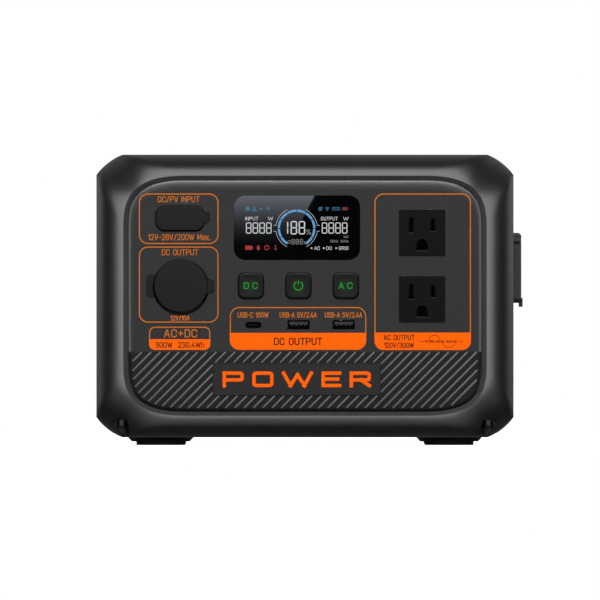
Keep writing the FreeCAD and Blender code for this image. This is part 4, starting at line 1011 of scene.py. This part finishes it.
# Text, left, right, bottom, top and stroke width of each label, in orange or on an orange ground.
ORANGE_LABELS = (
    ("DC/PV INPUT", -88.9, -64.6, 142.1, 145.6, LABEL_WIDE),
    ("12V-28V/200W Max.", -94.6, -58.3, 119.9, 123.5, LABEL_WIDE),
    ("DC OUTPUT", -86.6, -65.3, 111.1, 114.6, LABEL_WIDE), ("12V/10A", -81.5, -70.3, 73, 75.9, LABEL_WIDE),
    ("USB-C 100W", -42.3, -24.3, 74.7, 77.9, LABEL_WIDE),
    ("USB-A 5V/2.4A", -17.8, 3.9, 74.7, 77.9, LABEL_WIDE),
    ("USB-A 5V/2.4A", 8.6, 30.5, 74.7, 77.9, LABEL_WIDE), ("AC+DC", -85.4, -66, 63.1, 67.9, 0.6),
)
BROWN_LABELS = (
    ("300W  230.4Wh", -90.3, -61.8, 57.1, 60.5, 0.5), ("DC OUTPUT", -21.2, 7.1, 58.6, 63, 0.72),
    ("AC OUTPUT", 42.9, 61.1, 61.4, 64.8, 0.5), ("120V/300W", 43.2, 60.7, 57, 60.2, 0.48),
    ("PURE-SINE-WAVE", 67, 85.8, 59.9, 61.6, 0.3),
)
WAVE = ([(63.9, 60.7), (66.4, 60.7)], [(86.6, 60.7), (89.4, 60.7)],
        arc(72.6, 60.8, 3.6, 160, 20, 16), arc(80.9, 60.8, 3.6, 200, 340, 16))


def make_prints():
    """The frames, their orange grounds, the labels and the sine wave round the last label."""
    lines, fills, notes, brown = Piece(), Piece(), Piece(), Piece()
    for left, right, low, top, corner, level in FRAMES:
        outer = rounded(left, right, low, top, corner)
        lines.band(outer, rounded(left + LINE_WIDE, right - LINE_WIDE, low + LINE_WIDE, top - LINE_WIDE,
                                  corner - LINE_WIDE), PRINT_Y, PRINT_THICK)
        if level:
            fills.slab(below(outer, level), FILL_Y, PRINT_THICK)
    for label in ORANGE_LABELS:
        lettering(notes, *label, PRINT_Y, PRINT_THICK)
    for label in BROWN_LABELS:
        lettering(brown, *label, INK_Y, PRINT_THICK)
    for line in WAVE:
        brown.stroke(line, WAVE_WIDE, INK_Y, PRINT_THICK)
    lines.make("print_lines", "case", "panel_plastic", "orange_line")
    fills.make("print_fills", "case", "panel_plastic", "orange_print")
    notes.make("print_labels", "case", "panel_plastic", "orange_line")
    brown.make("print_on_orange", "case", "panel_plastic", "brown_print")


NAME_HALF, NAME_LOW, NAME_TOP = 43.4, -4.8, 4.6
NAME_STROKE, NAME_RAISED, NAME_BEVEL = 2.2, 0.3, 0.35


def make_name():
    """The word on the name plate, in raised strokes with bevelled edges."""
    mid, front = middle("name_plate"), box_mm("name_plate")[0].y - NAME_RAISED
    name = Piece()
    lettering(name, "POWER", mid.x - NAME_HALF, mid.x + NAME_HALF, mid.z + NAME_LOW, mid.z + NAME_TOP,
              NAME_STROKE, front, NAME_RAISED + 0.05, gap=2.4, share=0.5, bevel=NAME_BEVEL)
    name.make("plate_lettering", "case", "panel_plastic", "orange_print", smooth=30)


# ---- display

LIT_THICK = 0.04
LIT_Y = box_mm("display_window")[0].y - LIT_THICK
SEGMENTS = {"1": "bc", "8": "abcdefg"}
SEGMENT_ENDS = {
    "a": ((0, 2), (1, 2)), "b": ((1, 1), (1, 2)), "c": ((1, 0), (1, 1)), "d": ((0, 0), (1, 0)),
    "e": ((0, 0), (0, 1)), "f": ((0, 1), (0, 2)), "g": ((0, 1), (1, 1)),
}
GAUGE_PARTS, GAUGE_SPAN, GAUGE_INNER, GAUGE_OUTER, GAUGE_GAP = 10, 30, 9.7, 11, 1.2
GAUGE_START, TICK_RADIUS, TICK_WIDE = 240, 12.15, 0.19
TOP_ROW, LOW_ROW = 138.3, 115.6

# Digits, left, right, bottom, top and bar width of each number.
NUMBERS = (("8888", -37.5, -22.5, 123.8, 130.3, 0.52), ("8888", 6.8, 21.8, 123.8, 130.3, 0.52),
           ("88", -11.4, -2.9, 123.3, 131.1, 0.68))
SMALL_NUMBER = ("888", -10.8, -4.2, 117.5, 120.6, 0.38)

# Text, left, right, bottom, top and stroke width of each caption.
WHITE_CAPTIONS = (
    ("INPUT", -37.9, -30.2, 131.5, 133.6, 0.25), ("W", -24.7, -21.6, 131.5, 133.6, 0.25),
    ("OUTPUT", 6.3, 16.2, 131.5, 133.6, 0.25), ("W", 19.3, 22.4, 131.5, 133.6, 0.25),
    ("AC", 2.4, 5.7, 114.3, 116.3, 0.25), ("DC", 9.4, 12.8, 114.3, 116.3, 0.25),
    ("GRID", 16.7, 22.4, 114.3, 116.3, 0.25),
)
DIM_CAPTIONS = (
    ("%", -2.2, 0.4, 123.2, 126.2, 0.35), ("h", -3.6, -2.4, 117.6, 119.4, 0.3),
    ("VAC", 19.4, 22.4, 121.2, 122.6, 0.2), ("50Hz", 11.8, 16.4, 118.6, 120.1, 0.2),
    ("60Hz", 17.8, 22.4, 118.6, 120.1, 0.2),
)


def lit_slab(piece, outline):
    piece.slab(outline, LIT_Y, LIT_THICK)


def lit_stroke(piece, line, wide):
    piece.stroke(line, wide, LIT_Y, LIT_THICK)


def lit_text(piece, text, left, right, low, top, wide):
    lettering(piece, text, left, right, low, top, wide, LIT_Y, LIT_THICK)


def digit(piece, text, left, low, wide, tall, bar):
    """One seven segment digit with slightly pointed bars."""
    for key in SEGMENTS[text]:
        first, last = (Vector((left + x * wide, low + z * tall / 2)) for x, z in SEGMENT_ENDS[key])
        along = (last - first).normalized()
        side = Vector((-along.y, along.x)) * bar / 2
        a, b = first + along * bar * 0.12, last - along * bar * 0.12
        inner_a, inner_b = a + along * bar / 2, b - along * bar / 2
        lit_slab(piece, [a, inner_a - side, inner_b - side, b, inner_b + side, inner_a + side])


def number(piece, text, left, right, low, top, bar):
    """Seven segment digits, evenly spaced between two sides."""
    gap = bar * 1.35
    wide = (right - left - gap * (len(text) - 1) - bar * len(text)) / len(text)
    for place, character in enumerate(text):
        start = left + bar / 2 + place * (wide + bar + gap)
        digit(piece, character, start, low + bar / 2, wide, top - low - bar, bar)


def battery(piece, left, right, low, top):
    """The battery symbol, with its nub at the right."""
    lit_slab(piece, rounded(left, right - 0.5, low, top, 0.4, 3))
    lit_slab(piece, rounded_at(right - 0.25, (low + top) / 2, 0.5, 1, 0.15, 2))


def waves(piece, x, z):
    """The wireless symbol: three arcs over a dot."""
    for radius in (0.72, 1.26, 1.8):
        lit_stroke(piece, arc(x, z - 1, radius, 135, 45, 8), 0.26)
    lit_slab(piece, circle(x, z - 1, 0.28, 10))


def gauge(ring, ticks):
    """The ring of ten parts round the charge number, and the thin arcs and ticks outside it."""
    mid = middle("display_window")
    x, z = mid.x - 0.2, mid.z - 0.35
    for part in range(GAUGE_PARTS):
        start = GAUGE_START - part * GAUGE_SPAN - GAUGE_GAP
        end = start - GAUGE_SPAN + 2 * GAUGE_GAP
        lit_slab(ring, arc(x, z, GAUGE_OUTER, start, end, 10) + arc(x, z, GAUGE_INNER, end, start, 10))
    for side in (-1, 1):
        for low, high in ((8, 64), (-62, -8)):
            ends = (low, high) if side > 0 else (180 - low, 180 - high)
            lit_stroke(ticks, arc(x, z, TICK_RADIUS, *ends, 14), TICK_WIDE)
        for rise in (1.7, -1.7):
            lit_stroke(ticks, [(x + side * 12, z + rise), (x + side * 13.5, z + rise)], 0.2)


def make_display():
    """The lit parts of the display, one piece for each colour and kind."""
    white, dim, blue, icons, red, dim_red = (Piece() for _ in range(6))
    gauge(blue, white)
    for row in NUMBERS:
        number(white, *row)
    digit(white, "1", -14.3, 123.6, 1.2, 7.3, 0.64)
    number(dim, *SMALL_NUMBER)
    lit_stroke(dim, arc(-12.2, 118.9, 0.9, 0, 350, 14), 0.3)
    for caption in WHITE_CAPTIONS:
        lit_text(white, *caption)
    for caption in DIM_CAPTIONS:
        lit_text(dim, *caption)
    for x in (0.9, 8, 15.2):
        lit_slab(white, circle(x, 115.3, 0.5, 12))
    add_icons(icons, red, dim_red)
    white.make("display_lit_white", "case", "display", "lit_white")
    dim.make("display_lit_dim", "case", "display", "lit_dim")
    blue.make("display_lit_ring", "case", "display", "lit_blue")
    icons.make("display_lit_icons", "case", "display", "lit_icon_blue")
    red.make("display_lit_warnings", "case", "display", "lit_red")
    dim_red.make("display_lit_battery", "case", "display", "lit_dim_red")


def add_icons(icons, red, dim_red):
    """The small symbols. Along the top: fan, mains sign, bolt, wireless, dial, wireless, ECO and a
    battery. Along the bottom: battery, bottle, ring and exclamation mark."""
    for turn in range(4):
        spin = math.radians(90 * turn + 20)
        lit_slab(icons, circle(-36.4 + math.cos(spin) * 0.8, TOP_ROW + math.sin(spin) * 0.8, 0.62, 10))
    sign = ((-33.8, -1.2), (-32.6, 1.2), (-31.4, -1.2), (-33.8, -1.2))
    lit_stroke(icons, [(x, TOP_ROW + rise) for x, rise in sign], 0.42)
    lit_stroke(icons, [(-33.2, TOP_ROW - 0.3), (-32, TOP_ROW - 0.3)], 0.4)
    bolt = ((0.9, 1.4), (-0.9, -0.2), (-0.05, -0.2), (-0.7, -1.4), (0.9, 0.3), (0.1, 0.3))
    lit_slab(icons, [(-28.6 + off, TOP_ROW + rise) for off, rise in bolt])
    waves(icons, -24.3, TOP_ROW)
    lit_stroke(icons, arc(5.9, TOP_ROW - 0.1, 0.85, 60, 390, 14), 0.5)
    lit_stroke(icons, [(5.9, TOP_ROW - 0.1), (7.1, TOP_ROW + 1.3)], 0.35)
    waves(icons, 10, TOP_ROW)
    lit_text(icons, "ECO", 13, 17.4, TOP_ROW - 1, TOP_ROW + 1, 0.26)
    battery(dim_red, 18.7, 22.3, TOP_ROW - 0.95, TOP_ROW + 0.95)
    battery(red, -37.9, -33.3, LOW_ROW - 1.3, LOW_ROW + 1.2)
    lit_slab(red, rounded(-31.1, -29.4, LOW_ROW - 1.4, LOW_ROW + 0.9, 0.3, 3))
    lit_slab(red, rounded(-30.6, -29.9, LOW_ROW + 0.9, LOW_ROW + 1.5, 0.1, 2))
    lit_stroke(red, arc(-25.3, LOW_ROW, 1.25, 0, 355, 20), 0.5)
    lit_stroke(red, [(-20.2, LOW_ROW - 0.4), (-20.2, LOW_ROW + 1.5)], 0.5)
    lit_slab(red, circle(-20.2, LOW_ROW - 0.9, 0.62, 12))


# ---- sockets

USB_HALF, TOOTH_PITCH = 6.45, 2.5


def make_usb_teeth():
    """The grey tongue faces and the contact springs under them."""
    low, high = box_mm("usb_a_ports")
    z, y = middle("usb_a_ports").z, low.y + 0.9
    teeth = Piece()
    for centre in (low.x + USB_HALF, high.x - USB_HALF):
        teeth.slab(rounded(centre - 5.4, centre + 5.4, z + 0.35, z + 1.9, 0.15, 2), y, 0.6)
        for step in (-1.5, -0.5, 0.5, 1.5):
            teeth.slab(rounded_at(centre + step * TOOTH_PITCH, z, 1.1, 0.7, 0.12, 2), y + 0.2, 0.4)
    teeth.make("usb_contact_teeth", "case", "black_plastic", "contact_grey")


def make_outlet_lips():
    """Painted shade round the mains slots, which makes them look wider, and a thin painted highlight under
    each slot and under the ground hole.
    """
    lips, shades = Piece(), Piece()
    for node in ("ac_outlet_lower", "ac_outlet_upper"):
        mid, front = middle(node), box_mm(node)[0].y
        for off, low, top in ((-6.35, 0.3, 8.9), (6.35, 1.1, 8.1)):
            x, z, tall = mid.x + off, mid.z + (low + top) / 2, top - low
            # Painted shade round each slot.
            shades.band(rounded_at(x, z, 3.2, tall, 0.2, 2), rounded_at(x, z, 1.6, tall - 0.6, 0.2, 2),
                        front - 0.03, 0.06)
            # A painted highlight under the slot.
            lips.slab(rounded_at(x, mid.z + low - 0.22, 3.2, 0.36, 0.1, 2), front - 0.05, 0.1)
        # A painted highlight under the ground hole.
        lips.slab(rounded_at(mid.x, mid.z - 10.34, 6.8, 0.36, 0.1, 2), front - 0.05, 0.1)
    lips.make("outlet_lip_highlights", "case", "black_plastic", "lip_painted_highlight")
    shades.make("slot_painted_shade", "case", "black_plastic", "slot_shade")


# ---- feet and handle grip

FOOT_X, FOOT_Y = 84.5, 37
RIDGE_PITCH, GROOVE_DEEP, GRIP_CORNER, GRIP_ENDS = 3, 0.55, 4.5, 14


def make_feet():
    """Tapered foot bases, and rubber pads with rounded edges."""
    low, high = box_mm("foot_bases")
    base_sections = ((34.2, 22, 7.8, low.z), (34.6, 22.4, 8, low.z + 0.3),
                     (37.4, 25.2, 9.2, high.z - 0.8), (38, 25.8, 9.4, high.z))
    pad_sections = ((27.9, 16.2, 7.6, 0), (28.7, 17, 8, 0.4), (28.7, 17, 8, box_mm("foot_pads")[1].z))
    feet, pads = Piece(), Piece()
    for side in (-1, 1):
        for end in (-1, 1):
            for piece, sections in ((feet, base_sections), (pads, pad_sections)):
                loops = []
                for wide, deep, corner, z in sections:
                    outline = rounded_at(CENTRE_X + side * FOOT_X, end * FOOT_Y, wide, deep, corner)
                    loops.append([(x, y, z) for x, y in outline])
                piece.loft(loops)
    piece = feet.make("feet", "case", "black_plastic", smooth=40)
    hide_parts("foot_bases")
    piece = pads.make("feet_pads", "case", "soft_rubber", smooth=40)
    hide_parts("foot_pads")


def make_grip():
    """A rubber sleeve with rounded ends and a row of grooves round it."""
    low, high = box_mm("handle_grip")
    mid, wide, tall = (low + high) / 2, high.y - low.y, high.z - low.z
    ends = ((0, 1), (0.3, 0.4), (1, 0), (6, 0))
    grooves = int((high.x - low.x - GRIP_ENDS) / RIDGE_PITCH)
    stations = [(low.x + run, inset) for run, inset in ends]
    for step in range(grooves):
        x = mid.x + (step - grooves / 2) * RIDGE_PITCH
        stations += [(x, 0), (x + 0.4, GROOVE_DEEP), (x + 1.6, GROOVE_DEEP), (x + 2, 0)]
    stations += [(high.x - run, inset) for run, inset in ends[::-1]]
    grip = Piece()
    grip.loft([[(x, y, z) for y, z in rounded_at(mid.y, mid.z, wide - 2 * inset, tall - 2 * inset,
                                                 GRIP_CORNER - inset)] for x, inset in stations])
    piece = grip.make("grip_sleeve", "handle", "soft_rubber", smooth=35)
    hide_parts("handle_grip")


# ---- the floor and the scene

FLOOR_REACH, FLOOR_GLOW = 0.8, 0.95


def make_floor():
    """A plain pale floor that the object doesn't reflect."""
    mesh = bpy.data.meshes.new("floor")
    corners = [(x * FLOOR_REACH, y * FLOOR_REACH, 0) for x, y in ((-1, -1), (1, -1), (1, 1), (-1, 1))]
    mesh.from_pydata(corners, [], [(0, 1, 2, 3)])
    paper = surface("floor_paper", grey(0.6), 0.9, spread=0.01)
    set_inputs(paper.node_tree, paper.node_tree.nodes["Principled BSDF"],
               {"Emission Color": (1, 1, 1, 1), "Emission Strength": FLOOR_GLOW})
    mesh.materials.append(paper)
    floor = bpy.data.objects.new("floor", mesh)
    bpy.context.scene.collection.objects.link(floor)
    floor.visible_glossy = False
    floor.visible_diffuse = False


make_camera()
make_world()
bpy.context.scene.view_settings.view_transform = "Standard"
dress_nodes()
front_bezel, rear_shell = make_bezel(), make_rear()
make_trim()
make_ribs()
make_car_cover()
make_input_cover()
make_straps()
caps = [make_button(node, node + "_cap", symbol) for node, symbol in
        (("dc_button", letters("DC")), ("power_button", power_mark), ("ac_button", letters("AC")))]
make_lights(front_bezel, rear_shell, caps)
make_prints()
make_name()
make_display()
make_usb_teeth()
make_outlet_lips()
make_feet()
make_grip()
make_floor()
